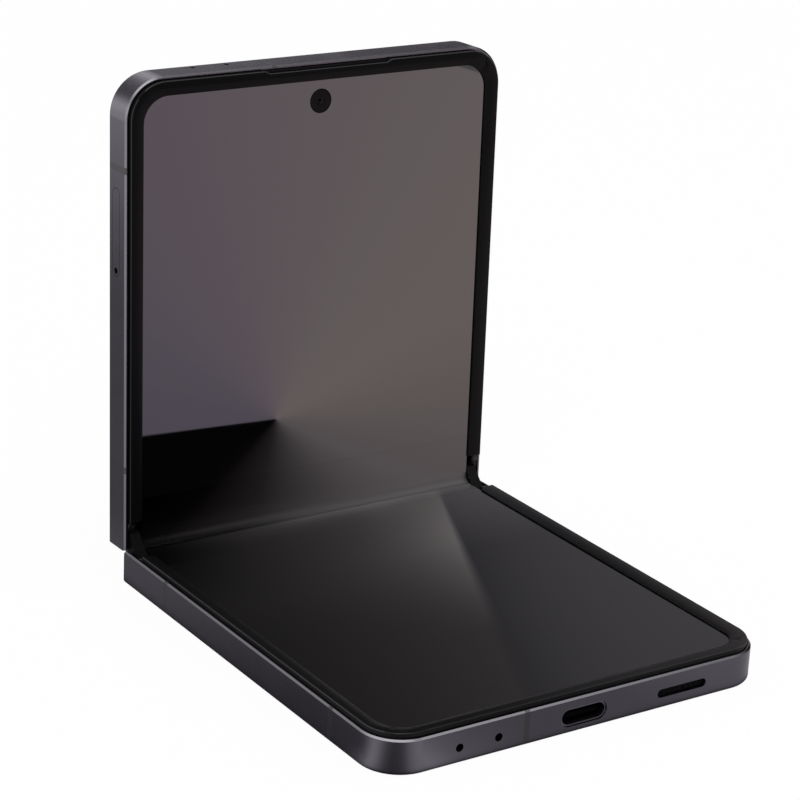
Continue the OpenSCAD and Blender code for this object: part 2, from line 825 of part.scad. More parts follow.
module main_board() {
    color([0.05, 0.25, 0.15]) in_upper() difference() {
        translate([0, 0, board_n - board_t]) linear_extrude(board_t)
            board_2d(-board_x, board_x - 0.5, upper_board_u);
        camera_places() box(-camera_half - 0.3, camera_half + 0.3, -camera_half - 0.3, camera_half + 0.3, -4, 1);
        box(-3.6, 3.6, selfie_u - 3.6, far_u, -4, 1);
        box(receiver_x - 0.4, slot_x1 + 0.4, receiver_u - 0.3, far_u, -4, 1);
        box(side_x - wall_t - 2.3, side_x, key_u - 7, rocker_u + 10.5, -4, 1);
        for (s = [-1, 1]) translate([s * main_screw_x, main_screw_u, -4]) cylinder(r = 0.75, h = 4);
    }
}

module main_board_screws() {
    color([0.6, 0.6, 0.62]) in_upper() for (s = [-1, 1]) translate([s * main_screw_x, main_screw_u, 0]) {
        translate([0, 0, board_n - board_t - 0.5]) cylinder(r = 1.2, h = 0.5);
        translate([0, 0, board_n - board_t]) cylinder(r = 0.68, h = board_t);
    }
}

module board_shields() {
    n1 = board_n - board_t;
    color([0.66, 0.66, 0.68]) in_upper() {
        box(-9.5, 6, upper_board_u + 1.5, tray_u + 7.3, n1 - 1.5, n1);
        box(9, main_screw_x - 3, upper_board_u + 1.5, tray_u + 7.3, n1 - 1.5, n1);
        box(1 - battery_x, -6, tray_u + 10.8, board_end - 3, n1 - 1.3, n1);
    }
}

// Inner camera: a square housing behind the plate and a round barrel up to the display
module selfie_camera() {
    color([0.04, 0.04, 0.05]) in_upper() translate([0, selfie_u, 0]) {
        box(-3.2, 3.2, -3.2, 3.2, plate_n - 2.7, plate_n - 0.03);
        translate([0, 0, plate_n - 0.1]) cylinder(d = selfie_d - 2 * fit_clear, h = panel_top - plate_n + 0.05);
    }
}

module rear_camera_modules() {
    color([0.08, 0.08, 0.09]) in_upper() camera_places() {
        box(-camera_half, camera_half, -camera_half, camera_half, glass_n + 0.1, board_n);
        translate([0, 0, back_n - ring_proud + 0.75]) cylinder(r = 3.6, h = ring_proud + 0.2);
    }
}

module rear_camera_rings() {
    color([0.25, 0.25, 0.27]) in_upper() camera_places() difference() {
        union() {
            translate([0, 0, back_n - ring_proud]) cylinder(r = ring_d / 2, h = ring_proud - 0.01);
            translate([0, 0, back_n - 0.1]) cylinder(r = ring_hole_r, h = glass_t + 0.05);
        }
        translate([0, 0, back_n - ring_proud - 1]) cylinder(r = lens_r, h = 1.7);
        translate([0, 0, back_n - ring_proud - 1]) cylinder(r = lens_r - 0.8, h = 5);
    }
}

module rear_camera_lenses() {
    color([0.03, 0.03, 0.05]) in_upper() camera_places()
        translate([0, 0, back_n - ring_proud + 0.1]) cylinder(r = lens_r - 0.05, h = 0.58);
}

module flash_window() {
    color([0.9, 0.88, 0.75]) in_upper() translate([flash_x, flash_u, back_n]) cylinder(r = 1.7, h = 1);
}

module earpiece_receiver() {
    color([0.12, 0.12, 0.13]) in_upper()
        box(receiver_x, slot_x1, receiver_u, far_u - wall_t - 0.15, plate_n - 2.9, plate_n - 0.03);
}

module earpiece_mesh() {
    g = 0.05;
    color([0.05, 0.05, 0.05]) in_upper()
        box(slot_x0 + g, slot_x1 - g, far_u - foot_in - slot_w + g, far_u - foot_in - g, ledge_n + 0.05, front_n - 0.1);
}

module top_microphones() {
    color([0.7, 0.6, 0.3]) in_upper() for (x = top_mic_x)
        box(x - 1.3, x + 1.3, far_u - wall_t - 1.9, far_u - wall_t - 0.15, -3.7, board_n - board_t);
}

tray_n0 = edge_mid - 0.45;
tray_n1 = edge_mid + 0.45;
tray_tip = tray_plate_l - side_x;

// Card reader: a sheet metal channel that the tray slides in
module sim_reader() {
    x0 = wall_t - side_x + 1.3;
    x1 = tray_tip + 1.4;
    wall = 0.2;
    gap = 0.12;
    color([0.68, 0.68, 0.7]) in_upper() difference() {
        box(x0, x1, tray_u - tray_half - gap - wall, tray_u + tray_half + gap + wall, tray_n0 - gap - wall, tray_n1 + gap + wall);
        box(x0 - 1, x1 - 0.4, tray_u - tray_half - gap, tray_u + tray_half + gap, tray_n0 - gap, tray_n1 + gap);
    }
}

module sim_ejector() {
    u = tray_u - tray_half - 0.9;
    color([0.6, 0.6, 0.62]) in_upper() {
        box(wall_t - side_x + 1.5, tray_tip + 1, u - 0.3, u + 0.3, tray_n0, tray_n1);
    }
}

// Card tray: face flush with the frame and a plate with a pocket for one small card
module sim_tray() {
    face_t = 0.95;
    hole_u = tray_u - tray_half - 0.3;
    color([0.25, 0.25, 0.27]) in_upper() difference() {
        union() {
            along_x(-side_x, face_t - side_x) translate([tray_u, edge_mid]) slot_2d(tray_face_l, tray_face_h);
            box(face_t - side_x - 0.1, tray_tip, tray_u - tray_half, tray_u + tray_half, tray_n0, tray_n1);
        }
        box(tray_tip - 13.6, tray_tip - 1.2, tray_u - 4.4, tray_u + 4.4, tray_n0 + 0.2, tray_n1 + 1);
        along_x(-side_x - 1, -side_x + 3) translate([hole_u, edge_mid]) circle(d = pin_hole_d);
    }
}

module sim_tray_gasket() {
    x0 = 1.15 - side_x;
    color([0.5, 0.12, 0.1]) in_upper() difference() {
        box(x0, x0 + 0.6, tray_u - tray_half - 0.3, tray_u + tray_half + 0.3, tray_n0 - 0.4, tray_n1 + 0.4);
        box(x0 - 1, x0 + 2, tray_u - tray_half, tray_u + tray_half, tray_n0, tray_n1);
    }
}

// Inner face of the keys' flanges, and the tips of the switches behind them
key_x = side_x - wall_t - 0.5;
switch_x = key_x - 0.35;
rib_r = 0.25;

// A key: its cap in the frame's wall and a flange that keeps it from falling out
module key_body(u, l) {
    flange_t = 0.3;
    rim = 0.6;
    box(key_x, side_x + key_proud, u - l / 2, u + l / 2, edge_mid - key_h / 2, edge_mid + key_h / 2);
    box(key_x, key_x + flange_t, u - l / 2 - rim, u + l / 2 + rim,
        edge_mid - key_h / 2 - rim / 2, edge_mid + key_h / 2 + rim / 2);
}

// The rocker tilts on a round rib in the middle of its inner face
module volume_rocker() {
    color([0.25, 0.25, 0.27]) in_upper() {
        key_body(rocker_u, rocker_l);
        translate([key_x, rocker_u, edge_mid - key_h / 2]) cylinder(r = rib_r, h = key_h);
    }
}

module side_key() {
    color([0.22, 0.22, 0.24]) in_upper() key_body(key_u, key_l);
}

// Switches behind the keys, on one strip
module key_switches() {
    strip_in = switch_x - 0.6;
    color([0.7, 0.55, 0.25]) in_upper() {
        box(strip_in - 0.4, strip_in, key_u - 6.6, rocker_u + 10, edge_mid - 1.2, edge_mid + 1.2);
        for (u = [key_u, rocker_u - 6.5, rocker_u + 6.5])
            box(strip_in - 0.01, switch_x, u - 1.5, u + 1.5, edge_mid - 1, edge_mid + 1);
        box(strip_in - 0.01, key_x - rib_r - 0.02, rocker_u - 0.4, rocker_u + 0.4, edge_mid - 1, edge_mid + 1);
    }
}

module upper_support_plate() {
    color([0.4, 0.4, 0.42]) in_upper() support_plate();
}

module upper_hinge_arms() {
    color([0.55, 0.55, 0.57]) in_upper() hinge_arms(2, 180 / sector_teeth);
}

module upper_arm_screws() {
    color([0.7, 0.7, 0.72]) in_upper() arm_screws();
}

lower_frame();
lower_antenna_bands();
lower_bezel();
lower_display();
lower_back_glass();
lower_battery();
sub_board();
usb_shell();
usb_tongue();
speaker_module();
speaker_mesh();
bottom_microphones();
vibration_motor();
charging_coil();
lower_support_plate();
lower_hinge_arms();
lower_arm_screws();
sub_board_screws();
spine_cover();
hinge_bases();
hinge_end_caps();
disc_springs();
retaining_clips();
base_screws();
display_fold();
hinge_flex_cables();
idler_gear_1();
idler_gear_2();
idler_gear_3();
idler_gear_4();
upper_frame();
upper_antenna_bands();
upper_bezel();
upper_display();
upper_back_glass();
cover_display();
upper_battery();
main_board();
board_shields();
selfie_camera();
rear_camera_modules();
rear_camera_rings();
rear_camera_lenses();
flash_window();
earpiece_receiver();
earpiece_mesh();
top_microphones();
sim_reader();
sim_ejector();
key_switches();
upper_support_plate();
upper_hinge_arms();
upper_arm_screws();
main_board_screws();
sim_tray();
sim_tray_gasket();
volume_rocker();
side_key();
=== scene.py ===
import json
import math

import bmesh
import bpy
from mathutils import Matrix, Vector


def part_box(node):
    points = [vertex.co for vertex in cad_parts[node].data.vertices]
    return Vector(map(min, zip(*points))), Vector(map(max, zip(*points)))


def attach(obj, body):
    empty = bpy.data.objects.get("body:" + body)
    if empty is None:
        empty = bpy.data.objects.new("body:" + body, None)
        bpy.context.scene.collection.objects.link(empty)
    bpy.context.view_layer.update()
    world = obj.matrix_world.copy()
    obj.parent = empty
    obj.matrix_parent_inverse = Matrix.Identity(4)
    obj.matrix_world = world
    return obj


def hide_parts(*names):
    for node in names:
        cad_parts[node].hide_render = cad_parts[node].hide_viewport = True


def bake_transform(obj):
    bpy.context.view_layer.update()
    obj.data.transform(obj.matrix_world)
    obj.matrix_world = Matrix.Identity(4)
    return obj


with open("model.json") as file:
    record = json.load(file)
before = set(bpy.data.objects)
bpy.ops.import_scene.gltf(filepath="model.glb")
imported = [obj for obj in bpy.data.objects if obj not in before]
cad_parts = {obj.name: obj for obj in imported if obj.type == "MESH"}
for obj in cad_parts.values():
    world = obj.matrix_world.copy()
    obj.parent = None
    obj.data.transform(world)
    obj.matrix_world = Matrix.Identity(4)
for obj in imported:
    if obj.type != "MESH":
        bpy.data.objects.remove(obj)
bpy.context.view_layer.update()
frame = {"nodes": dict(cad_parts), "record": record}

# ---- sizes, in millimetres, as the frame has them ------------------------

SIDE_X = 37.6           # half of the phone's width
FAR_U = 81.3            # hinge axis to the free end of a half
FRONT_N = 1.25          # height of a frame's front rim above its hinge axis
AXIS_Y = 39.65          # the lower hinge axis
AXIS_Z = 5.0
HALF_AXIS = 2.05        # half the distance between the two hinge axes
FOLD = math.radians(44.5)    # turn from each half to the spine

LEDGE_N = 0.45          # height of the ledge that carries the bezel
PANEL_TOP = 1.2         # height of the display's face
PANEL_START = 7.4       # hinge axis to where the display's flat part starts
FOOT_IN = 0.65          # side of the phone to the bezel's outer face
FOOT_W = 1.35           # width of the foot that the bezel stands on
LIT_X = 34.36           # half of the lit width
LIT_U = 78.06           # hinge axis to the lit area's far edge
BEZEL_START = 3.4       # hinge axis to the bezel's ends
BEZEL_TOP = 1.95
LIP_TOP = 1.55          # height of the bezel's inner edge, which slopes down to the display
FOOT_START = 1.6        # hinge axis to the foot's ends
FOOT_TOP = 1.1          # height of the foot beside the hinge's end caps
BEZEL_CORNER_R = 6.35
FOOT_CORNER_R = 5.0
LIT_CORNER_R = 4.6
BEZEL_EDGE = 0.2        # rounding of the bezel's upper edges
EARPIECE_X = (-11.5, 13.9)    # ends of the earpiece's recess in the upper bezel
EARPIECE_DEPTH = 0.45
EARPIECE_SLANT = 0.9

FOLD_T = 0.45           # thickness of the display where it folds
FOLD_R = 1.6            # radius of its bend, at its face
STRIP_X = 34.35         # half of its width
STRIP_GAP = 0.02        # how far it ends before the flat part
CABLE_STARTS = (-9, 3)    # left sides of the two flexible circuits
CABLE_W = 6
CABLE_REACH = 6.9       # hinge axis to their ends
CABLE_TOP = 0.2
CABLE_T = 0.14
CABLE_R = 3.0

MILLIMETRES = Matrix.Scale(0.001, 4)


def turn_x(angle):
    return Matrix.Rotation(angle, 4, "X")


def shift(x, y, z):
    return Matrix.Translation((x, y, z))


def half_direction(half, *direction):
    """A direction on a half, in the frame's axes."""
    return (half.to_3x3() @ Vector(direction)).normalized()


def fold_centre(top, radius):
    """Height above the spine of the line that a folding strip bends round."""
    return (top + radius - HALF_AXIS * math.sin(FOLD)) / math.cos(FOLD)


LOWER = MILLIMETRES @ shift(0, AXIS_Y, AXIS_Z) @ Matrix.Diagonal((1, -1, 1, 1))
SPINE = MILLIMETRES @ shift(0, AXIS_Y, AXIS_Z) @ turn_x(FOLD) @ shift(0, HALF_AXIS, 0)
UPPER = SPINE @ shift(0, HALF_AXIS, 0) @ turn_x(FOLD)

# ---- shader nodes --------------------------------------------------------


def put(tree, kind, ins=None, **settings):
    """Adds a shader node; ins are its inputs, each a value or another node's output."""
    made = tree.nodes.new("ShaderNode" + kind)
    for name, value in settings.items():
        setattr(made, name, value)
    for key, value in (ins or {}).items():
        if isinstance(value, bpy.types.NodeSocket):
            tree.links.new(value, made.inputs[key])
        else:
            made.inputs[key].default_value = value
    return made


def calc(tree, operation, *values):
    made = put(tree, "Math", operation=operation)
    for socket, value in zip(made.inputs, values):
        if isinstance(value, bpy.types.NodeSocket):
            tree.links.new(value, socket)
        else:
            socket.default_value = value
    return made.outputs[0]


def ramp(tree, factor, stops):
    """A colour ramp; a stop is a place from 0 to 1 and a grey level or a colour."""
    made = put(tree, "ValToRGB", {"Fac": factor})
    row = made.color_ramp.elements
    while len(row) < len(stops):
        row.new(1)
    for element, (place, shade) in zip(row, stops):
        element.position = place
        colour = (shade,) * 3 if isinstance(shade, (int, float)) else shade
        element.color = (*colour, 1)
    return made.outputs["Color"]


def spread(tree, value, low, high, to_low=0.0, to_high=1.0):
    """Maps low..high to to_low..to_high and holds the ends."""
    return put(tree, "MapRange", {
        "Value": value, "From Min": low, "From Max": high, "To Min": to_low, "To Max": to_high,
    }).outputs["Result"]


def blend_colours(tree, factor, first, second):
    made = put(tree, "Mix", {"Factor": factor}, data_type="RGBA")
    for socket, value in zip([s for s in made.inputs if s.type == "RGBA"], (first, second)):
        if isinstance(value, bpy.types.NodeSocket):
            tree.links.new(value, socket)
        else:
            socket.default_value = value
    return next(s for s in made.outputs if s.type == "RGBA")


def new_group(name, sockets_in, sockets_out):
    group = bpy.data.node_groups.new(name, "ShaderNodeTree")
    for label, kind, value in sockets_in:
        socket = group.interface.new_socket(label, in_out="INPUT", socket_type="NodeSocket" + kind)
        socket.default_value = value
    for label, kind in sockets_out:
        group.interface.new_socket(label, in_out="OUTPUT", socket_type="NodeSocket" + kind)
    return group, group.nodes.new("NodeGroupInput").outputs, group.nodes.new("NodeGroupOutput").inputs


def object_place(tree, stretch=(1, 1, 1)):
    """The piece's own coordinates in millimetres, stretched along each axis."""
    coordinates = put(tree, "TexCoord").outputs["Object"]
    scale = Vector(stretch) * 1000
    return put(tree, "Mapping", {"Vector": coordinates, "Scale": scale}).outputs["Vector"]


def satin_group():
    """Fine blasted or moulded grain with soft handling marks over it."""
    group, given, out = new_group(
        "satin_surface",
        [("Colour", "Color", (0.5, 0.5, 0.5, 1)), ("Grain per mm", "Float", 6.0),
         ("Roughness", "Float", 0.4), ("Marks", "Float", 0.05), ("Tone change", "Float", 0.06)],
        [("Colour", "Color"), ("Roughness", "Float"), ("Height", "Float")])
    place = object_place(group)
    grain = put(group, "TexNoise", {
        "Vector": place, "Scale": given["Grain per mm"], "Detail": 2.0, "Roughness": 0.6}).outputs["Fac"]
    marks = put(group, "TexNoise", {
        "Vector": place, "Scale": 0.06, "Detail": 4.0, "Roughness": 0.55, "Distortion": 0.6}).outputs["Fac"]
    soft = spread(group, marks, 0.35, 0.7, -0.5, 0.5)
    rough = calc(group, "MULTIPLY_ADD", soft, given["Marks"], given["Roughness"])
    fine = calc(group, "MULTIPLY_ADD", calc(group, "SUBTRACT", grain, 0.5), given["Marks"], rough)
    tone = calc(group, "MULTIPLY_ADD", soft, given["Tone change"], 1.0)
    speck = calc(group, "MULTIPLY_ADD", calc(group, "SUBTRACT", grain, 0.5), given["Tone change"], tone)
    scaled = put(group, "VectorMath", {0: given["Colour"], "Scale": speck}, operation="SCALE")
    group.links.new(scaled.outputs["Vector"], out["Colour"])
    group.links.new(fine, out["Roughness"])
    group.links.new(grain, out["Height"])
    return group


def brushed_group():
    """Fine parallel lines, as rolling or brushing leaves them, along the phone's width."""
    group, given, out = new_group(
        "brushed_surface",
        [("Colour", "Color", (0.5, 0.5, 0.5, 1)), ("Lines per mm", "Float", 8.0),
         ("Roughness", "Float", 0.3)],
        [("Colour", "Color"), ("Roughness", "Float"), ("Height", "Float")])
    place = object_place(group, (0.04, 1, 1))
    lines = put(group, "TexNoise", {
        "Vector": place, "Scale": given["Lines per mm"], "Detail": 3.0, "Roughness": 0.7}).outputs["Fac"]
    centred = calc(group, "SUBTRACT", lines, 0.5)
    rough = calc(group, "MULTIPLY_ADD", centred, 0.25, given["Roughness"])
    tone = calc(group, "MULTIPLY_ADD", centred, 0.3, 1.0)
    scaled = put(group, "VectorMath", {0: given["Colour"], "Scale": tone}, operation="SCALE")
    group.links.new(scaled.outputs["Vector"], out["Colour"])
    group.links.new(rough, out["Roughness"])
    group.links.new(lines, out["Height"])
    return group


def print_group():
    """Faint finger marks on glass: a mask that changes slowly and breaks up into fine ridges."""
    group, given, out = new_group(
        "finger_marks",
        [("Roughness", "Float", 0.05), ("Amount", "Float", 0.05)],
        [("Roughness", "Float")])
    place = object_place(group)
    patches = put(group, "TexNoise", {
        "Vector": place, "Scale": 0.045, "Detail": 3.0, "Roughness": 0.5, "Distortion": 0.8}).outputs["Fac"]
    where = spread(group, patches, 0.52, 0.72)
    ridges = put(group, "TexWave", {
        "Vector": place, "Scale": 0.7, "Distortion": 9.0, "Detail": 2.0, "Detail Scale": 0.4}).outputs["Fac"]
    broken = calc(group, "MULTIPLY", where, calc(group, "MULTIPLY_ADD", ridges, 0.5, 0.5))
    rough = calc(group, "MULTIPLY_ADD", broken, given["Amount"], given["Roughness"])
    group.links.new(rough, out["Roughness"])
    return group


satin_surface = satin_group()
brushed_surface = brushed_group()
finger_marks = print_group()

# ---- finishes ------------------------------------------------------------


def start_finish(name):
    material = bpy.data.materials.new(name)
    material.use_nodes = True
    tree = material.node_tree
    return material, tree, tree.nodes["Principled BSDF"]


def use_group(tree, group, **ins):
    made = put(tree, "Group", node_tree=group)
    for key, value in ins.items():
        made.inputs[key.replace("_", " ")].default_value = value
    return made.outputs


def set_shader(shader, **values):
    for key, value in values.items():
        shader.inputs[key.replace("_", " ")].default_value = value


def raise_surface(tree, shader, height, relief):
    """Shades a surface by a height; relief is what a height of one stands for, in millimetres."""
    bump = put(tree, "Bump", {"Height": height, "Distance": relief / 1000})
    tree.links.new(bump.outputs["Normal"], shader.inputs["Normal"])


def feed(tree, shader, surface, relief):
    """Links a surface group's outputs to the shader."""
    tree.links.new(surface["Colour"], shader.inputs["Base Color"])
    tree.links.new(surface["Roughness"], shader.inputs["Roughness"])
    raise_surface(tree, shader, surface["Height"], relief)


def satin(name, colour, roughness, grain=6.0, relief=0.004, marks=0.05, tone=0.06, **shader_values):
    material, tree, shader = start_finish(name)
    surface = use_group(tree, satin_surface, Colour=(*colour, 1), Grain_per_mm=grain, Roughness=roughness,
                        Marks=marks, Tone_change=tone)
    feed(tree, shader, surface, relief)
    set_shader(shader, **shader_values)
    return material


def brushed(name, colour, roughness, lines=8.0):
    material, tree, shader = start_finish(name)
    surface = use_group(tree, brushed_surface, Colour=(*colour, 1), Lines_per_mm=lines, Roughness=roughness)
    feed(tree, shader, surface, 0.003)
    set_shader(shader, Metallic=1.0)
    return material


def dark_glass(name, colour, roughness, ior, marks):
    """Black glass: a little light comes back from its surface, and none from inside."""
    material, tree, shader = start_finish(name)
    surface = use_group(tree, finger_marks, Roughness=roughness, Amount=marks)
    tree.links.new(surface["Roughness"], shader.inputs["Roughness"])
    depth = put(tree, "TexNoise", {"Vector": object_place(tree), "Scale": 0.05, "Detail": 1.0}).outputs
    dim = tuple(0.8 * c for c in colour)
    shade = ramp(tree, depth["Fac"], [(0.3, dim), (0.7, colour)])
    tree.links.new(shade, shader.inputs["Base Color"])
    set_shader(shader, IOR=ior)
    return material


def circuit_board_finish():
    """Green mask over copper: tracks show as a slightly lighter relief, with bare pads between them."""
    material, tree, shader = start_finish("board_mask")
    place = object_place(tree)
    cells = put(tree, "TexVoronoi", {"Vector": place, "Scale": 0.8}, distance="CHEBYCHEV").outputs
    tracks = ramp(tree, cells["Distance"], [(0.30, 0), (0.34, 1), (0.42, 1), (0.46, 0)])
    pads = put(tree, "TexVoronoi", {"Vector": place, "Scale": 1.7, "Randomness": 0.6}).outputs["Distance"]
    pad = ramp(tree, pads, [(0.10, 1), (0.13, 0)])
    mask = blend_colours(tree, tracks, (0.012, 0.055, 0.034, 1), (0.022, 0.095, 0.058, 1))
    shade = blend_colours(tree, pad, mask, (0.55, 0.46, 0.24, 1))
    tree.links.new(shade, shader.inputs["Base Color"])
    tree.links.new(pad, shader.inputs["Metallic"])
    rough = calc(tree, "MULTIPLY_ADD", tracks, -0.1, 0.42)
    tree.links.new(rough, shader.inputs["Roughness"])
    raise_surface(tree, shader, tracks, 0.03)
    return material


def battery_finish():
    """Black wrapped pouch: slight waves in the foil and the lighter stripe of its pull tape."""
    material, tree, shader = start_finish("battery_wrap")
    place = object_place(tree)
    waves = put(tree, "TexNoise", {"Vector": place, "Scale": 0.25, "Detail": 3.0}).outputs["Fac"]
    x = put(tree, "SeparateXYZ", {"Vector": place}).outputs["X"]
    off = calc(tree, "ABSOLUTE", calc(tree, "SUBTRACT", x, 12.0))
    tape = calc(tree, "LESS_THAN", off, 4.0)
    shade = blend_colours(tree, tape, (0.022, 0.022, 0.024, 1), (0.075, 0.078, 0.082, 1))
    tree.links.new(shade, shader.inputs["Base Color"])
    tree.links.new(calc(tree, "MULTIPLY_ADD", waves, 0.3, 0.25), shader.inputs["Roughness"])
    raise_surface(tree, shader, waves, 0.1)
    return material


def wound_copper_finish():
    """Flat coil of lacquered wire, wound round the middle of the lower half."""
    material, tree, shader = start_finish("wound_copper")
    low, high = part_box("charging_coil")
    middle = (low + high) / 2
    place = object_place(tree)
    centred = put(tree, "VectorMath", {0: place, 1: middle * 1000}, operation="SUBTRACT").outputs["Vector"]
    turns = put(tree, "TexWave", {"Vector": centred, "Scale": 0.55, "Distortion": 0.0},
                wave_type="RINGS", rings_direction="Z").outputs["Fac"]
    shade = ramp(tree, turns, [
        (0.0, (0.20, 0.08, 0.03)), (0.5, (0.62, 0.33, 0.17)), (1.0, (0.72, 0.42, 0.23))])
    tree.links.new(shade, shader.inputs["Base Color"])
    raise_surface(tree, shader, turns, 0.08)
    tree.links.new(spread(tree, turns, 0, 1, 0.45, 0.25), shader.inputs["Roughness"])
    set_shader(shader, Metallic=1.0)
    return material


def mesh_finish():
    """Woven acoustic mesh: a dark grid of fine round holes."""
    material, tree, shader = start_finish("acoustic_mesh")
    place = object_place(tree)
    holes = put(tree, "TexVoronoi", {"Vector": place, "Scale": 4.5, "Randomness": 0.0}).outputs["Distance"]
    web = ramp(tree, holes, [(0.28, 0), (0.42, 1)])
    shade = blend_colours(tree, web, (0.001, 0.001, 0.001, 1), (0.009, 0.008, 0.010, 1))
    tree.links.new(shade, shader.inputs["Base Color"])
    raise_surface(tree, shader, web, 0.05)
    set_shader(shader, Roughness=0.7, Specular_IOR_Level=0.06)
    return material


def facing_share(tree, facing):
    """How far a surface of the resting part faces along a direction, from -1 to 1."""
    normal = put(tree, "TexCoord").outputs["Normal"]
    return put(tree, "VectorMath", {0: normal, 1: facing}, operation="DOT_PRODUCT").outputs["Value"]


def between(tree, value, low, high, soft=0.06):
    """One where a value lies between two limits, with soft ends."""
    return calc(tree, "MULTIPLY", spread(tree, value, low - soft, low + soft),
                spread(tree, value, high - soft, high + soft, 1.0, 0.0))


def frame_finish(name, facing):
    """Satin metal with a brighter, smoother cut chamfer round its front; the chamfer's colour also carries a
    painted highlight, strongest towards -x and fading towards +x.
    """
    material, tree, shader = start_finish(name)
    surface = use_group(tree, satin_surface, Colour=(*METAL_DARK, 1), Grain_per_mm=METAL_GRAIN,
                        Roughness=METAL_ROUGH, Marks=0.05, Tone_change=0.06)
    place = put(tree, "SeparateXYZ", {"Vector": object_place(tree)}).outputs
    chamfer = between(tree, facing_share(tree, facing), 0.45, 0.93)
    # painted highlight: the chamfer's colour is scaled from 1.1 at -x down to 0.42 at +x
    painted_highlight_along_x = spread(tree, place["X"], -SIDE_X, SIDE_X, 1.1, 0.42)
    chamfer_and_painted_highlight = put(tree, "VectorMath", {0: METAL_CUT, "Scale": painted_highlight_along_x}, operation="SCALE").outputs["Vector"]
    shade = blend_colours(tree, chamfer, surface["Colour"], chamfer_and_painted_highlight)
    tree.links.new(shade, shader.inputs["Base Color"])
    rough = put(tree, "Mix", {"Factor": chamfer, "A": surface["Roughness"], "B": CUT_ROUGH})
    tree.links.new(rough.outputs["Result"], shader.inputs["Roughness"])
    raise_surface(tree, shader, surface["Height"], METAL_RELIEF)
    set_shader(shader, Metallic=1.0)
    return material


def bezel_finish(name, facing, half, gloss, right_gloss, edge_gloss=0.45):
    """Matt black plastic whose outer edge and right side are worn a little smoother."""
    material, tree, shader = start_finish(name)
    surface = use_group(tree, satin_surface, Colour=(0.0024, 0.0024, 0.0027, 1), Grain_per_mm=7.0,
                        Roughness=0.42, Marks=0.05, Tone_change=0.06)
    feed(tree, shader, surface, 0.002)
    place = object_place(tree)
    x = put(tree, "SeparateXYZ", {"Vector": place}).outputs["X"]
    outwards = half_direction(half, 0, 1, 0)
    along = put(tree, "VectorMath", {0: place, 1: outwards}, operation="DOT_PRODUCT").outputs["Value"]
    foot_end = (half @ Vector((0, FAR_U - FOOT_IN - FOOT_W, 0))).dot(outwards) * 1000
    at_side = calc(tree, "GREATER_THAN", calc(tree, "ABSOLUTE", x), SIDE_X - FOOT_IN - FOOT_W)
    outside = calc(tree, "MAXIMUM", at_side, calc(tree, "GREATER_THAN", along, foot_end))
    edge = calc(tree, "MULTIPLY", outside, between(tree, facing_share(tree, facing), 0.4, 0.9))
    face = spread(tree, x, 31, 34, gloss, right_gloss)
    worn = calc(tree, "MULTIPLY", edge, calc(tree, "SUBTRACT", edge_gloss, face))
    tree.links.new(calc(tree, "ADD", face, worn), shader.inputs["Specular IOR Level"])
    return material


def ring_distance(tree, half, centres):
    """Distance in millimetres from the nearest of some axes that stand on a half at (x, u)."""
    place = put(tree, "TexCoord").outputs["Object"]
    axis = half_direction(half, 0, 0, 1)
    nearest = 1000.0
    for x, u in centres:
        centre = half @ Vector((x, u, 0))
        off = put(tree, "VectorMath", {0: place, 1: centre}, operation="SUBTRACT").outputs["Vector"]
        across = put(tree, "VectorMath", {0: off, 1: axis}, operation="CROSS_PRODUCT").outputs["Vector"]
        away = put(tree, "VectorMath", {0: across}, operation="LENGTH").outputs["Value"]
        nearest = calc(tree, "MINIMUM", calc(tree, "MULTIPLY", away, 1000.0), nearest)
    return nearest


def lens_finish(name, half, centres, reach, rings, specular, roughness):
    """Dark glass over a lens: the rings of its barrel show through, out to a reach in millimetres."""
    material, tree, shader = start_finish(name)
    away = ring_distance(tree, half, centres)
    tree.links.new(ramp(tree, spread(tree, away, 0, reach), rings), shader.inputs["Base Color"])
    depth = calc(tree, "SUBTRACT", 0.1 * reach ** 2, calc(tree, "MULTIPLY", away, away))
    dome = calc(tree, "SQRT", calc(tree, "MAXIMUM", depth, 0.0))
    raise_surface(tree, shader, dome, 0.5)
    surface = use_group(tree, finger_marks, Roughness=roughness, Amount=0.03)
    tree.links.new(surface["Roughness"], shader.inputs["Roughness"])
    set_shader(shader, Specular_IOR_Level=specular)
    return material


def flash_finish():
    """Pale diffuser with fine moulded rings round a small warm emitter."""
    material, tree, shader = start_finish("flash_diffuser_rings")
    away = ring_distance(tree, UPPER, [(FLASH_X, FLASH_U)])
    shade = ramp(tree, spread(tree, away, 0, 1.7), [
        (0.0, (0.70, 0.58, 0.20)), (0.42, (0.74, 0.64, 0.30)), (0.52, (0.80, 0.78, 0.68)),
        (0.95, (0.84, 0.83, 0.78)), (1.0, (0.5, 0.5, 0.48))])
    tree.links.new(shade, shader.inputs["Base Color"])
    rings = calc(tree, "SINE", calc(tree, "MULTIPLY", away, 30.0))
    raise_surface(tree, shader, rings, 0.03)
    set_shader(shader, Roughness=0.2)
    return material


def port_finish():
    """Dark pressed shell with painted light and shade: lighter at its mouth, darker deeper inside the port.
    """
    material, tree, shader = start_finish("port_shell_painted_shade")
    surface = use_group(tree, brushed_surface, Lines_per_mm=6.0, Roughness=0.36)
    tree.links.new(surface["Roughness"], shader.inputs["Roughness"])
    raise_surface(tree, shader, surface["Height"], 0.002)
    y = put(tree, "SeparateXYZ", {"Vector": object_place(tree)}).outputs["Y"]
    mouth = AXIS_Y - FAR_U
    # painted light and shade by depth into the port: light at the mouth, near black further in
    shade = ramp(tree, spread(tree, y, mouth, mouth + 2.5), [
        (0.0, (0.30, 0.29, 0.31)), (0.35, (0.16, 0.155, 0.17)), (0.7, (0.012, 0.012, 0.013)),
        (1.0, (0.005, 0.005, 0.005))])
    tree.links.new(shade, shader.inputs["Base Color"])
    set_shader(shader, Metallic=1.0)
    return material


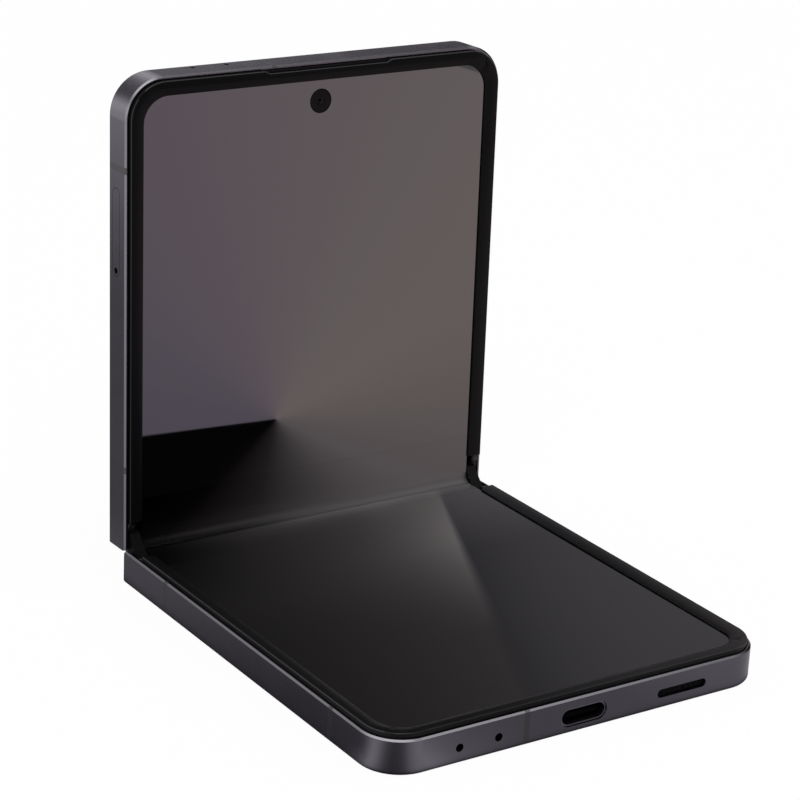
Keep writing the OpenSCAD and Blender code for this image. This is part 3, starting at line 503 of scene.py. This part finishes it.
def fold_finish():
    """The display's glass where it bends: its mirror softens towards the fold's middle, and its colour
    carries a painted reflection, lighter towards +x and in the bend's lower part.
    """
    material = FINISHES["display_glass"].copy()
    material.name = "display_glass_fold"
    tree = material.node_tree
    shader = tree.nodes["Principled BSDF"]
    marks = shader.inputs["Roughness"].links[0].from_socket
    middle = SPINE @ Vector((0, 0, fold_centre(PANEL_TOP, FOLD_R) - FOLD_R))
    place = put(tree, "TexCoord").outputs["Object"]    # in metres, as middle is
    flat = put(tree, "VectorMath", {0: place, 1: (0, 1, 1)}, operation="MULTIPLY").outputs["Vector"]
    away = put(tree, "VectorMath", {0: flat, 1: middle}, operation="DISTANCE").outputs["Value"]
    soft = put(tree, "MapRange", {
        "Value": away, "From Min": 0.001, "From Max": 0.0062, "To Min": 0.42, "To Max": 0.0},
        interpolation_type="SMOOTHSTEP").outputs["Result"]
    x, y, z = put(tree, "SeparateXYZ", {"Vector": object_place(tree)}).outputs
    soft = calc(tree, "MULTIPLY", soft, spread(tree, x, -34, -12, 0.5, 1))
    tree.links.new(calc(tree, "ADD", marks, soft), shader.inputs["Roughness"])
    # painted reflection in the bend's colour: none towards -x, rising to about 0.067 towards +x
    painted_reflection = ramp(tree, spread(tree, x, -SIDE_X, SIDE_X), [
        (0.0, 0.0), (0.28, 0.0), (0.36, 0.007), (0.46, 0.033), (0.55, 0.047), (0.64, 0.057),
        (0.72, 0.064), (0.81, 0.067), (1.0, 0.058)])
    rise = ramp(tree, spread(tree, z, 6.2, 9.5), [
        (0.0, 1.0), (0.04, 0.95), (0.14, 0.7), (0.3, 0.5), (0.5, 0.25), (1.0, 0.0)])
    share = calc(tree, "MULTIPLY", rise, spread(tree, y, 37.5, 40.2))
    scaled = put(tree, "VectorMath", {0: painted_reflection, "Scale": share}, operation="SCALE").outputs["Vector"]
    tree.links.new(scaled, shader.inputs["Base Color"])
    return material


# places of the lenses on the upper half, and the tones of the rings that show in them

SELFIE_U = 74.4
SELFIE_RINGS = [
    (0.0, (0.0008, 0.0008, 0.0012)), (0.24, (0.0010, 0.0010, 0.0014)), (0.27, (0.0034, 0.0032, 0.0032)),
    (0.34, (0.0034, 0.0032, 0.0032)), (0.37, (0.0016, 0.0016, 0.0016)), (0.62, (0.0022, 0.0020, 0.0020)),
    (0.86, (0.0026, 0.0023, 0.0023)), (0.92, (0.0004, 0.0004, 0.0004))]
REAR_LENSES = [(27.0, 70.5), (12.4, 70.5)]
REAR_RINGS = [
    (0.0, (0.004, 0.005, 0.012)), (0.14, (0.010, 0.012, 0.034)), (0.20, (0.003, 0.003, 0.004)),
    (0.30, (0.003, 0.003, 0.004)), (0.32, (0.040, 0.040, 0.044)), (0.35, (0.005, 0.005, 0.006)),
    (0.52, (0.008, 0.009, 0.016)), (0.60, (0.003, 0.003, 0.004)), (0.66, (0.055, 0.055, 0.058)),
    (0.69, (0.006, 0.006, 0.007)), (0.84, (0.010, 0.010, 0.011)), (0.88, (0.030, 0.030, 0.032)),
    (0.92, (0.008, 0.008, 0.009))]
FLASH_X = 3.2
FLASH_U = 73.6

METAL_DARK = (0.150, 0.144, 0.160)
METAL_CUT = (0.20, 0.195, 0.205)    # the chamfer's colour: the cut metal's own brighter tone, with a painted highlight in it
METAL_ROUGH = 0.27
CUT_ROUGH = 0.22
METAL_GRAIN = 9.0
METAL_RELIEF = 0.0012
LOWER_FACING = (0, 0, 1)
UPPER_FACING = half_direction(UPPER, 0, 0, 1)

FINISHES = {
    "frame_metal": satin("frame_metal_satin", METAL_DARK, METAL_ROUGH, METAL_GRAIN, METAL_RELIEF, 0.05, 0.07,
                         Metallic=1.0),
    "antenna_plastic": satin("antenna_plastic_satin", (0.009, 0.009, 0.010), 0.3, 5.0, 0.001,
                             Specular_IOR_Level=1.0),
    "bezel_plastic": satin("bezel_plastic_black", (0.0032, 0.0032, 0.0036), 0.42, 7.0, 0.002,
                           Specular_IOR_Level=0.1),
    "display_glass": dark_glass("display_glass_black", (0.0012, 0.0011, 0.0013), 0.02, 1.9, 0.02),
    "back_glass": dark_glass("back_glass_satin", (0.022, 0.021, 0.024), 0.32, 1.5, 0.05),
    "battery_pouch": battery_finish(),
    "circuit_board": circuit_board_finish(),
    "steel_part": brushed("rolled_steel", (0.52, 0.52, 0.53), 0.32),
    "gear_metal": brushed("gear_bronze", (0.50, 0.44, 0.26), 0.35, 14.0),
    "module_plastic": satin("module_plastic_black", (0.018, 0.018, 0.019), 0.55, 5.0),
    "copper_part": brushed("lacquered_copper", (0.60, 0.33, 0.17), 0.34, 10.0),
    "flash_lens": satin("flash_diffuser", (0.82, 0.78, 0.58), 0.22, 3.0, 0.004),
    "tray_rubber": satin("tray_rubber_red", (0.30, 0.06, 0.045), 0.7, 4.0),
}
FOLD_GLASS = fold_finish()
LOWER_BEZEL = bezel_finish("bezel_plastic_lower", LOWER_FACING, LOWER, gloss=0.2, right_gloss=0.34)
UPPER_BEZEL = bezel_finish("bezel_plastic_upper", UPPER_FACING, UPPER, gloss=0.06, right_gloss=0.09)
SPECIAL = {
    "lower_frame": frame_finish("frame_metal_lower", LOWER_FACING),
    "upper_frame": frame_finish("frame_metal_upper", UPPER_FACING),
    "usb_shell": port_finish(),
    "usb_tongue": satin("port_tongue_black", (0.0012, 0.0012, 0.0014), 0.6, 8.0, Specular_IOR_Level=0.03),
    "selfie_camera": lens_finish("inner_camera_lens", UPPER, [(0, SELFIE_U)], reach=2.1, rings=SELFIE_RINGS,
                                 specular=0.08, roughness=0.12),
    "rear_camera_lenses": lens_finish("rear_camera_lens", UPPER, REAR_LENSES, reach=5.2, rings=REAR_RINGS,
                                      specular=0.5, roughness=0.03),
    "flash_window": flash_finish(),
    "charging_coil": wound_copper_finish(),
    "speaker_mesh": mesh_finish(),
    "sub_board_screws": brushed("screw_steel", (0.42, 0.42, 0.43), 0.28, 20.0),
}
SPECIAL["earpiece_mesh"] = SPECIAL["speaker_mesh"]
for screws in ("main_board_screws", "base_screws", "lower_arm_screws", "upper_arm_screws"):
    SPECIAL[screws] = SPECIAL["sub_board_screws"]

slot_of = {part["node"]: part["material_slot"] for part in frame["record"]["subparts"]}
for node_name, node_object in frame["nodes"].items():
    finish = SPECIAL.get(node_name, FINISHES[slot_of[node_name]])
    for material_slot in node_object.material_slots:
        material_slot.material = finish

# ---- making pieces -------------------------------------------------------


def smooth_by_angle(bm, limit=35):
    for face in bm.faces:
        face.smooth = True
    for edge in bm.edges:
        if len(edge.link_faces) == 2:
            edge.smooth = edge.calc_face_angle(0) < math.radians(limit)


def in_order(bm):
    """The same bmesh with corners and faces in one order, which differs between runs otherwise."""
    corners = sorted(bm.verts, key=lambda v: [round(c, 3) for c in v.co.zyx])
    rank = {vert: number for number, vert in enumerate(corners)}
    rings = []
    for face in bm.faces:
        ring = [rank[v] for v in face.verts]
        first = ring.index(min(ring))
        rings.append(ring[first:] + ring[:first])
    ordered = bmesh.new()
    verts = [ordered.verts.new(v.co) for v in corners]
    for ring in sorted(rings, reverse=True):
        ordered.faces.new([verts[number] for number in ring])
    bm.free()
    return ordered


def make_piece(name, bm, place, finish):
    """Ends a bmesh drawn in millimetres: closes it, puts it in its place and makes the object."""
    bmesh.ops.remove_doubles(bm, verts=bm.verts, dist=0.0005)
    bm = in_order(bm)
    bmesh.ops.transform(bm, matrix=place, verts=bm.verts)
    bmesh.ops.recalc_face_normals(bm, faces=bm.faces)
    smooth_by_angle(bm)
    mesh = bpy.data.meshes.new(name)
    bm.to_mesh(mesh)
    bm.free()
    mesh.materials.append(finish)
    piece = bpy.data.objects.new(name, mesh)
    bpy.context.scene.collection.objects.link(piece)
    return piece


def moved(geometry, bm, offset):
    """Moves what an extrusion made, and returns its faces."""
    verts = [g for g in geometry if isinstance(g, bmesh.types.BMVert)]
    bmesh.ops.translate(bm, vec=offset, verts=verts)
    return [g for g in geometry if isinstance(g, bmesh.types.BMFace)]


def extrude_by(bm, faces, offset):
    grown = bmesh.ops.extrude_face_region(bm, geom=faces)
    return moved(grown["geom"], bm, offset)


def soften(bm, edges, width, steps=3):
    bmesh.ops.bevel(bm, geom=edges, offset=width, offset_type="OFFSET", affect="EDGES",
                    segments=steps, profile=0.5, material=-1)


def round_corner(bm, verts, radius, steps=14):
    bmesh.ops.bevel(bm, geom=verts, offset=radius, offset_type="OFFSET", affect="VERTICES",
                    segments=steps, profile=0.5, material=-1)


def u_line(bm, x, u_end, extra=()):
    """Corner points of a line up one side, across the free end and down the other side."""
    plan = [(-x, BEZEL_START), (-x, u_end), *extra, (x, u_end), (x, BEZEL_START)]
    return [bm.verts.new((*point, FRONT_N)) for point in plan]


def bezel_mesh(notch=()):
    """Raised rim over the display's edge, on a foot that stands on the frame's ledge."""
    bm = bmesh.new()
    foot_x = SIDE_X - FOOT_IN
    outer = u_line(bm, foot_x, FAR_U - FOOT_IN, notch)
    middle = u_line(bm, foot_x - FOOT_W, FAR_U - FOOT_IN - FOOT_W)
    inner = u_line(bm, LIT_X, LIT_U)
    foot_face = bm.faces.new(outer + middle[::-1])
    lip_face = bm.faces.new(middle + inner[::-1])
    round_corner(bm, [outer[1], outer[-2]], BEZEL_CORNER_R)
    round_corner(bm, [middle[1], middle[-2]], FOOT_CORNER_R)
    round_corner(bm, [inner[1], inner[-2]], LIT_CORNER_R)
    foot_face, lip_face = sorted(bm.faces, key=lambda f: -max(v.co.x for v in f.verts))
    ends = [e for e in lip_face.edges if all(abs(v.co.y - BEZEL_START) < 0.001 for v in e.verts)]
    sides = [e for e in lip_face.edges if e not in ends]
    bmesh.ops.delete(bm, geom=[lip_face], context="FACES_ONLY")
    lip = bmesh.ops.bridge_loops(bm, edges=sides)["faces"]
    extrude_by(bm, [foot_face, *lip], (0, 0, BEZEL_TOP - FRONT_N))
    inner_side = [v for v in bm.verts if v.co.z > BEZEL_TOP - 0.001
                  and abs(v.co.x) < LIT_X + 0.01 and v.co.y < LIT_U + 0.01]
    bmesh.ops.translate(bm, vec=(0, 0, LIP_TOP - BEZEL_TOP), verts=inner_side)
    bmesh.ops.recalc_face_normals(bm, faces=bm.faces)
    low = [f for f in bm.faces if f.normal.z < -0.9 and max(v.co.x for v in f.verts) > foot_x - 0.01]
    low = extrude_by(bm, low, (0, 0, FOOT_TOP - FRONT_N))
    low = extrude_by(bm, low, (0, 0, LEDGE_N - FOOT_TOP))
    heels = [f for f in bm.faces if f.calc_center_median().z < FOOT_TOP
             and all(abs(v.co.y - BEZEL_START) < 0.001 for v in f.verts)]
    extrude_by(bm, heels, (0, FOOT_START - BEZEL_START, 0))
    rim = [e for e in bm.edges if all(v.co.z > LIP_TOP - 0.001 for v in e.verts)
           and any(abs(f.normal.z) < 0.5 for f in e.link_faces)
           and any(f.normal.z > 0.5 for f in e.link_faces)]
    soften(bm, rim, BEZEL_EDGE, 4)
    return bm


def make_bezels():
    lower = make_piece("lower_bezel_rim", bezel_mesh(), LOWER, LOWER_BEZEL)
    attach(lower, "lower_half")
    left, right = EARPIECE_X
    end_u = FAR_U - FOOT_IN
    notch_u = end_u - EARPIECE_DEPTH
    notch = [(left, end_u), (left + EARPIECE_SLANT, notch_u),
             (right - EARPIECE_SLANT, notch_u), (right, end_u)]
    upper = make_piece("upper_bezel_rim", bezel_mesh(notch), UPPER, UPPER_BEZEL)
    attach(upper, "upper_half")
    for piece, replaced in ((lower, "lower_bezel"), (upper, "upper_bezel")):
        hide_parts(replaced)


ARC_STEPS = 40
FLAT_STEPS = 12


def bent_strip(name, side, x0, x1, reach, top, thickness, radius, finish):
    """Half of a strip that bends round the fold; side is -1 for the lower half and 1 for the upper."""
    bm = bmesh.new()
    centre = fold_centre(top, radius)
    start = bm.verts.new((x0, 0, centre - radius))
    arc = bmesh.ops.spin(bm, geom=[start], cent=(x0, 0, centre), axis=(1, 0, 0), angle=side * FOLD,
                         steps=ARC_STEPS, use_duplicate=False)
    last = next(g for g in arc["geom_last"] if isinstance(g, bmesh.types.BMVert))
    along = Vector((0, side * math.cos(FOLD), math.sin(FOLD)))
    end_reach = (last.co.y * side - HALF_AXIS) * math.cos(FOLD) + last.co.z * math.sin(FOLD)
    for _ in range(FLAT_STEPS):
        grown = bmesh.ops.extrude_vert_indiv(bm, verts=[last])
        last = grown["verts"][0]
        bmesh.ops.translate(bm, vec=along * (reach - end_reach) / FLAT_STEPS, verts=[last])
    wide = bmesh.ops.extrude_edge_only(bm, edges=bm.edges[:])
    moved(wide["geom"], bm, (x1 - x0, 0, 0))
    bmesh.ops.recalc_face_normals(bm, faces=bm.faces)
    if sum(f.normal.z for f in bm.faces) < 0:
        bmesh.ops.reverse_faces(bm, faces=bm.faces)
    bmesh.ops.solidify(bm, geom=bm.faces[:], thickness=thickness)
    piece = make_piece(name, bm, SPINE, finish)
    if side < 0:
        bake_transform(piece)
    else:
        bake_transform(piece)
    return piece


def make_fold():
    for side, half in ((-1, "lower"), (1, "upper")):
        fold = bent_strip("display_fold_" + half, side, -STRIP_X, STRIP_X, PANEL_START - STRIP_GAP,
                          PANEL_TOP, FOLD_T, FOLD_R, FOLD_GLASS)
        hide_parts("display_fold")
        for number, x in enumerate(CABLE_STARTS, 1):
            cable = bent_strip(f"flex_cable_{number}_{half}", side, x, x + CABLE_W, CABLE_REACH, CABLE_TOP,
                               CABLE_T, CABLE_R, FINISHES["copper_part"])
            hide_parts("hinge_flex_cables")


make_bezels()
make_fold()

# ---- studio --------------------------------------------------------------

CAMERA_AZ = math.radians(34.2415)
CAMERA_EL = math.radians(19.9531)
CAMERA_ROLL = math.radians(2.804)
CAMERA_AT = Vector((-0.2353955, -0.3317747, 0.1888787))
CAMERA_LENS = 118.4415
FLOOR_SIZE = 4000
FLOOR_Z = -0.02         # just clear of the lower half's back glass


def make_camera():
    data = bpy.data.cameras.new("camera")
    data.lens = CAMERA_LENS
    data.sensor_width = 36
    data.clip_start = 0.01
    camera = bpy.data.objects.new("camera", data)
    bpy.context.scene.collection.objects.link(camera)
    facing = Vector((math.sin(CAMERA_AZ) * math.cos(CAMERA_EL),
                     math.cos(CAMERA_AZ) * math.cos(CAMERA_EL),
                     -math.sin(CAMERA_EL)))
    level = facing.cross(Vector((0, 0, 1))).normalized()
    rise = level.cross(facing)
    right = math.cos(CAMERA_ROLL) * level + math.sin(CAMERA_ROLL) * rise
    up = math.cos(CAMERA_ROLL) * rise - math.sin(CAMERA_ROLL) * level
    turn = Matrix((right, up, -facing)).transposed()
    camera.matrix_world = Matrix.Translation(CAMERA_AT) @ turn.to_4x4()
    bpy.context.scene.camera = camera


def cleared_tree(owner):
    """The emptied node tree of a new material or world."""
    owner.use_nodes = True
    owner.node_tree.nodes.clear()
    return owner.node_tree


def stage_plane(name, corners, material):
    mesh = bpy.data.meshes.new(name)
    bm = bmesh.new()
    bm.faces.new([bm.verts.new(Vector(c) / 1000) for c in corners])
    bm.to_mesh(mesh)
    bm.free()
    mesh.materials.append(material)
    plane = bpy.data.objects.new(name, mesh)
    bpy.context.scene.collection.objects.link(plane)
    return plane


def tone(level):
    """Linear value of a display level from 0 to 255."""
    share = level / 255
    return share / 12.92 if share <= 0.04045 else ((share + 0.055) / 1.055) ** 2.4


def tones(*levels):
    return tuple(tone(level) for level in levels)


FLOOR_MIRROR = 0.16     # share of light that the frame's metal sends back
CORNER_X = -30.6        # middle of the front left corner's rounding
CORNER_Y = -34.65
CORNER_R = 7.0
SHADE_REACH = 2.0       # how far the dark line under the phone's edge shows in the metal


def greys(*pairs):
    """Ramp stops from places and display levels, each a little cool as the frame's metal is."""
    return [(place, tones(level, level - 1.5, level + 1.5)) for place, level in pairs]


def floor_in_mirrors(tree):
    """Grey levels of the table as the frame's metal mirrors it, darker in the phone's own shade."""
    place = put(tree, "SeparateXYZ", {"Vector": object_place(tree)}).outputs
    x, y = place["X"], place["Y"]
    left = ramp(tree, spread(tree, y, -35, 45), greys(
        (0.0, 88), (0.035, 62), (0.06, 46), (0.09, 39), (0.13, 38), (0.30, 37), (0.42, 40), (0.56, 44),
        (0.70, 50), (0.82, 56), (1.0, 60)))
    front = ramp(tree, spread(tree, x, -31, 40), greys(
        (0.0, 93), (0.05, 102), (0.12, 81), (0.21, 71), (0.30, 65), (0.62, 65), (0.80, 74), (1.0, 82)))
    turn = calc(tree, "ARCTAN2", calc(tree, "SUBTRACT", CORNER_X, x), calc(tree, "SUBTRACT", y, CORNER_Y))
    corner = ramp(tree, spread(tree, turn, math.radians(90), math.radians(180)), greys(
        (0.0, 90), (0.10, 105), (0.20, 96), (0.31, 73), (0.40, 53), (0.52, 39), (0.62, 41), (0.72, 48),
        (0.80, 62), (0.88, 80), (1.0, 93)))
    beside = blend_colours(tree, calc(tree, "LESS_THAN", y, CORNER_Y), left, corner)
    near = blend_colours(tree, calc(tree, "GREATER_THAN", x, CORNER_X), beside, front)
    behind = ramp(tree, spread(tree, x, -200, -45), greys(
        (0.0, 112), (0.065, 86), (0.155, 84), (0.27, 71), (0.32, 66), (0.38, 55), (0.43, 51), (0.50, 46),
        (0.57, 44), (0.67, 49), (0.83, 54), (0.91, 50), (1.0, 38)))
    ahead = ramp(tree, spread(tree, x, -260, -80), greys((0.0, 112), (0.5, 100), (1.0, 92)))
    far = blend_colours(tree, spread(tree, y, 35, 50), ahead, behind)
    table = blend_colours(tree, spread(tree, x, -47, -52), near, far)
    out_x = calc(tree, "MAXIMUM", calc(tree, "SUBTRACT", calc(tree, "ABSOLUTE", x), -CORNER_X), 0.0)
    out_y = calc(tree, "MAXIMUM", calc(tree, "SUBTRACT", CORNER_Y, y), 0.0)
    square = calc(tree, "ADD", calc(tree, "MULTIPLY", out_x, out_x), calc(tree, "MULTIPLY", out_y, out_y))
    edge = spread(tree, calc(tree, "SQRT", square), CORNER_R, CORNER_R + SHADE_REACH, 0.85, 0.0)
    return blend_colours(tree, edge, table, (*tones(24, 23, 26), 1))


def make_floor():
    material = bpy.data.materials.new("floor_white")
    tree = cleared_tree(material)
    rays = put(tree, "LightPath").outputs
    seen = calc(tree, "MAXIMUM", rays["Is Camera Ray"], rays["Is Transmission Ray"])
    matt = put(tree, "BsdfDiffuse", {"Color": (0.8, 0.8, 0.8, 1)}).outputs[0]
    glow = put(tree, "Emission", {"Color": (1, 1, 1, 1), "Strength": 1.0}).outputs[0]
    white = put(tree, "MixShader", {"Fac": 0.96, 1: matt, 2: glow}).outputs[0]
    mirrored = put(tree, "Emission", {
        "Color": floor_in_mirrors(tree), "Strength": 1 / FLOOR_MIRROR}).outputs[0]
    glossy = put(tree, "MixShader", {"Fac": rays["Is Glossy Ray"], 1: matt, 2: mirrored}).outputs[0]
    shader = put(tree, "MixShader", {"Fac": seen, 1: glossy, 2: white}).outputs[0]
    put(tree, "OutputMaterial", {"Surface": shader})
    stage_plane("floor", [(x * FLOOR_SIZE, y * FLOOR_SIZE, FLOOR_Z)
                          for x, y in ((-1, -1), (1, -1), (1, 1), (-1, 1))], material)


def room_in_mirrors(tree):
    """Grey levels of the room as the frame's metal mirrors it: by height, and behind it by angle."""
    direction = put(tree, "TexCoord").outputs["Generated"]
    side, depth, height = put(tree, "SeparateXYZ", {"Vector": direction}).outputs
    angle = calc(tree, "ARCTAN2", height, calc(tree, "MULTIPLY", side, -1.0))
    behind = ramp(tree, spread(tree, angle, 0, math.radians(170)), greys(
        (0.0, 120), (0.07, 130), (0.15, 92), (0.22, 20), (0.48, 12), (0.57, 46), (0.69, 116), (0.82, 122),
        (0.88, 34), (1.0, 10)))
    right = ramp(tree, height, greys(
        (0.0, 132), (0.30, 130), (0.42, 94), (0.50, 94), (0.60, 122), (0.68, 146), (0.73, 142), (0.80, 84),
        (1.0, 76)))
    left = ramp(tree, height, greys(
        (0.0, 132), (0.30, 130), (0.42, 96), (0.50, 96), (0.62, 122), (0.75, 150), (1.0, 160)))
    around = blend_colours(tree, spread(tree, side, 0.10, 0.40), left, right)
    back = calc(tree, "ADD", depth, calc(tree, "MAXIMUM", side, 0.0))
    return blend_colours(tree, spread(tree, back, 0.80, 0.86), around, behind)


def make_world():
    world = bpy.data.worlds.new("studio")
    bpy.context.scene.world = world
    tree = cleared_tree(world)
    rays = put(tree, "LightPath").outputs
    mirrored = put(tree, "Background", {
        "Color": room_in_mirrors(tree), "Strength": 1 / FLOOR_MIRROR}).outputs[0]
    plain = put(tree, "Background", {"Color": (0.9, 0.9, 0.9, 1), "Strength": 0.8}).outputs[0]
    white = put(tree, "Background", {"Color": (1, 1, 1, 1), "Strength": 1.0}).outputs[0]
    glossy = put(tree, "MixShader", {"Fac": rays["Is Glossy Ray"], 1: plain, 2: mirrored}).outputs[0]
    shader = put(tree, "MixShader", {"Fac": rays["Is Camera Ray"], 1: glossy, 2: white}).outputs[0]
    put(tree, "OutputWorld", {"Surface": shader})


def make_lamp(name, place, aim, size, power):
    data = bpy.data.lights.new(name, "AREA")
    data.size = size
    data.energy = power
    lamp = bpy.data.objects.new(name, data)
    bpy.context.scene.collection.objects.link(lamp)
    lamp.location = place
    lamp.rotation_euler = (Vector(aim) - Vector(place)).to_track_quat("-Z", "Y").to_euler()
    lamp.visible_glossy = False


# ---- what the display mirrors --------------------------------------------

TOP_MIRROR = 0.10       # share of light that the upper display sends back to the camera
LOW_MIRROR = 0.187      # the same for the lower display, which is seen at a flatter angle


def card(name, corners, paint):
    """A studio card that only mirrors see, and only from its front."""
    material = bpy.data.materials.new(name)
    tree = cleared_tree(material)
    place = put(tree, "SeparateXYZ", {"Vector": object_place(tree)}).outputs
    colour, mirror = paint(tree, place)
    front = put(tree, "Emission", {"Color": colour, "Strength": 1 / mirror}).outputs[0]
    clear = put(tree, "BsdfTransparent").outputs[0]
    behind = put(tree, "NewGeometry").outputs["Backfacing"]
    shader = put(tree, "MixShader", {"Fac": behind, 1: front, 2: clear}).outputs[0]
    put(tree, "OutputMaterial", {"Surface": shader})
    plane = stage_plane(name, corners, material)
    plane.visible_camera = False
    plane.visible_diffuse = False
    plane.visible_shadow = False
    plane.visible_transmission = False
    plane.visible_volume_scatter = False


CARD_Z = 7.05           # just above the lower half's bezel
CARD_LEFT = -34.4       # in line with the display's left edge
CARD_FRONT = -300
CARD_BACK = 41
TABLE_RIGHT = 260
FAN_X = 20.444          # where the table card's shades meet
FAN_Y = -4.983
FAN_START = math.radians(2.96)


def paint_table_card(tree, place):
    """Grey fan: its shades turn round one point, from black through grey and back with one sharp edge."""
    across = calc(tree, "SUBTRACT", FAN_X, place["X"])
    turn = calc(tree, "ARCTAN2", calc(tree, "SUBTRACT", place["Y"], FAN_Y), across)
    turn = calc(tree, "WRAP", calc(tree, "ADD", turn, FAN_START), math.tau, 0.0)
    shades = ramp(tree, spread(tree, turn, 0, math.tau), [
        (0.0, tones(1, 1, 1)), (0.102, tones(1, 1, 1)), (0.126, tones(4, 3, 3)), (0.162, tones(27, 25, 26)),
        (0.197, tones(54, 51, 53)), (0.232, tones(71, 67, 69)), (0.27, tones(80, 75, 76)),
        (0.40, tones(86, 80, 80)), (0.52, tones(92, 85, 84)), (0.60, tones(98, 90, 88)),
        (0.645, tones(96, 89, 89)), (0.69, tones(88, 80, 86)), (0.75, tones(80, 74, 83)),
        (0.84, tones(77, 71, 80)), (0.985, tones(75, 70, 79)), (0.99, tones(1, 1, 1))])
    return shades, TOP_MIRROR


UPRIGHT_Y = 40
UPRIGHT_FOOT = 6
UPRIGHT_RIGHT = 150
CEILING_X = (-34, 200)
CEILING_FRONT = -45
CEILING_Z = 75.0
FRONT_X = (-100, 400)   # ends of the card in front of the phone
FRONT_TOP = 290
EDGE_X = 27.7           # where the upright card's slanting edge starts
EDGE_Z = 7.3
EDGE_LEAN = 0.51        # how far the edge leans to the right for each millimetre up


def level_to_light(tree, level):
    """The same as tone, for a level that comes from a node."""
    share = calc(tree, "MULTIPLY_ADD", level, 1 / (255 * 1.055), 0.055 / 1.055)
    return calc(tree, "POWER", calc(tree, "MAXIMUM", share, 0.02), 2.4)


def paint_upright_card(tree, place):
    """Dark card with a slanting edge; light gathers on the left of that edge and fades upwards."""
    x, z = place["X"], place["Z"]
    edge = calc(tree, "MULTIPLY_ADD", calc(tree, "SUBTRACT", z, EDGE_Z), EDGE_LEAN, EDGE_X)
    left = calc(tree, "MAXIMUM", calc(tree, "SUBTRACT", edge, x), 0.0)
    right = calc(tree, "MAXIMUM", calc(tree, "SUBTRACT", x, edge), 0.0)
    fall = calc(tree, "EXPONENT", calc(tree, "DIVIDE", calc(tree, "MULTIPLY", left, -1.0),
                                       spread(tree, z, 10, 34, 24, 7)))
    strength = calc(tree, "MINIMUM", spread(tree, z, 18, 38, 42, 0), spread(tree, z, 7, 15, 32, 42))
    gathered = calc(tree, "MULTIPLY", fall, strength)
    foot = calc(tree, "EXPONENT", calc(tree, "DIVIDE", calc(tree, "SUBTRACT", 6.2, z), 1.9))
    foot = calc(tree, "MULTIPLY", calc(tree, "MULTIPLY", foot, 27.0),
                calc(tree, "MULTIPLY", spread(tree, left, 4, 14), spread(tree, x, -30, -4)))
    low = calc(tree, "MULTIPLY", spread(tree, left, 42, 60, 0, 12), spread(tree, z, 8, 20, 1, 0))
    shade = calc(tree, "MULTIPLY", spread(tree, left, 6, 20, 0, 8), spread(tree, z, 9, 22, 1, 0))
    dim = calc(tree, "MULTIPLY_ADD", left, -0.41, 46.5)
    dim = calc(tree, "SUBTRACT", dim, calc(tree, "ADD", low, shade))
    left_level = calc(tree, "ADD", calc(tree, "ADD", dim, foot), gathered)
    rise = calc(tree, "EXPONENT", calc(tree, "MULTIPLY", right, -0.055))
    right_level = calc(tree, "MULTIPLY_ADD", rise, -21.0, 62.0)
    right_level = calc(tree, "ADD", right_level, spread(tree, z, 8, 20, 18, 0))
    in_right = spread(tree, calc(tree, "SUBTRACT", x, edge), spread(tree, z, 8, 50, -0.4, -2.4),
                      spread(tree, z, 8, 50, 0.4, 2.4))
    level = put(tree, "Mix", {"Factor": in_right, "A": left_level, "B": right_level}).outputs["Result"]
    tint = blend_colours(tree, in_right, (1.07, 0.985, 1.0, 1), (1.02, 0.965, 1.06, 1))
    grey = level_to_light(tree, level)
    lit = put(tree, "VectorMath", {0: tint, "Scale": grey}, operation="SCALE").outputs["Vector"]
    above = blend_colours(tree, spread(tree, z, 62, CEILING_Z), lit, fold_shades(tree, x, 46.0))
    return above, LOW_MIRROR


def fold_shades(tree, x, shift_x):
    """What the display's bend mirrors, by the place along it: dark on the left, grey on the right."""
    return ramp(tree, spread(tree, calc(tree, "SUBTRACT", x, shift_x), -32, 32), [
        (0.0, tones(1, 1, 1)), (0.22, tones(9, 8, 9)), (0.31, tones(22, 21, 22)), (0.41, tones(39, 37, 38)),
        (0.5, tones(53, 50, 51)), (0.6, tones(65, 61, 62)), (0.7, tones(74, 70, 70)),
        (0.82, tones(80, 75, 75))])


def paint_ceiling_card(tree, place):
    """The bend's shades, leaning so that each place on the bend meets its own."""
    return fold_shades(tree, place["X"], calc(tree, "MULTIPLY_ADD", place["Y"], -0.26, 56.4)), TOP_MIRROR


def paint_front_card(tree, place):
    """The bend's shades again, further out."""
    return fold_shades(tree, place["X"], spread(tree, place["Z"], CARD_Z, FRONT_TOP, 231, 272)), TOP_MIRROR


def make_cards():
    card("table_card", [
        (CARD_LEFT, CARD_FRONT, CARD_Z), (TABLE_RIGHT, CARD_FRONT, CARD_Z),
        (TABLE_RIGHT, CARD_BACK, CARD_Z), (CARD_LEFT, CARD_BACK, CARD_Z)], paint_table_card)
    card("upright_card", [
        (CARD_LEFT, UPRIGHT_Y, UPRIGHT_FOOT), (UPRIGHT_RIGHT, UPRIGHT_Y, UPRIGHT_FOOT),
        (UPRIGHT_RIGHT, UPRIGHT_Y, CEILING_Z), (CARD_LEFT, UPRIGHT_Y, CEILING_Z)], paint_upright_card)
    left, right = CEILING_X
    card("ceiling_card", [
        (left, CEILING_FRONT, CEILING_Z), (left, CARD_BACK, CEILING_Z),
        (right, CARD_BACK, CEILING_Z), (right, CEILING_FRONT, CEILING_Z)], paint_ceiling_card)
    left, right = FRONT_X
    card("front_card", [
        (left, CARD_FRONT, CARD_Z), (left, CARD_FRONT, FRONT_TOP),
        (right, CARD_FRONT, FRONT_TOP), (right, CARD_FRONT, CARD_Z)], paint_front_card)


make_camera()
make_floor()
make_world()
make_lamp("key_lamp", place=(-0.7, -0.9, 1.3), aim=(0, 0, 0.03), size=0.9, power=12)
make_lamp("fill_lamp", place=(1.1, -0.4, 0.9), aim=(0, 0, 0.03), size=1.0, power=5)
make_cards()

bpy.context.scene.view_settings.view_transform = "Standard"
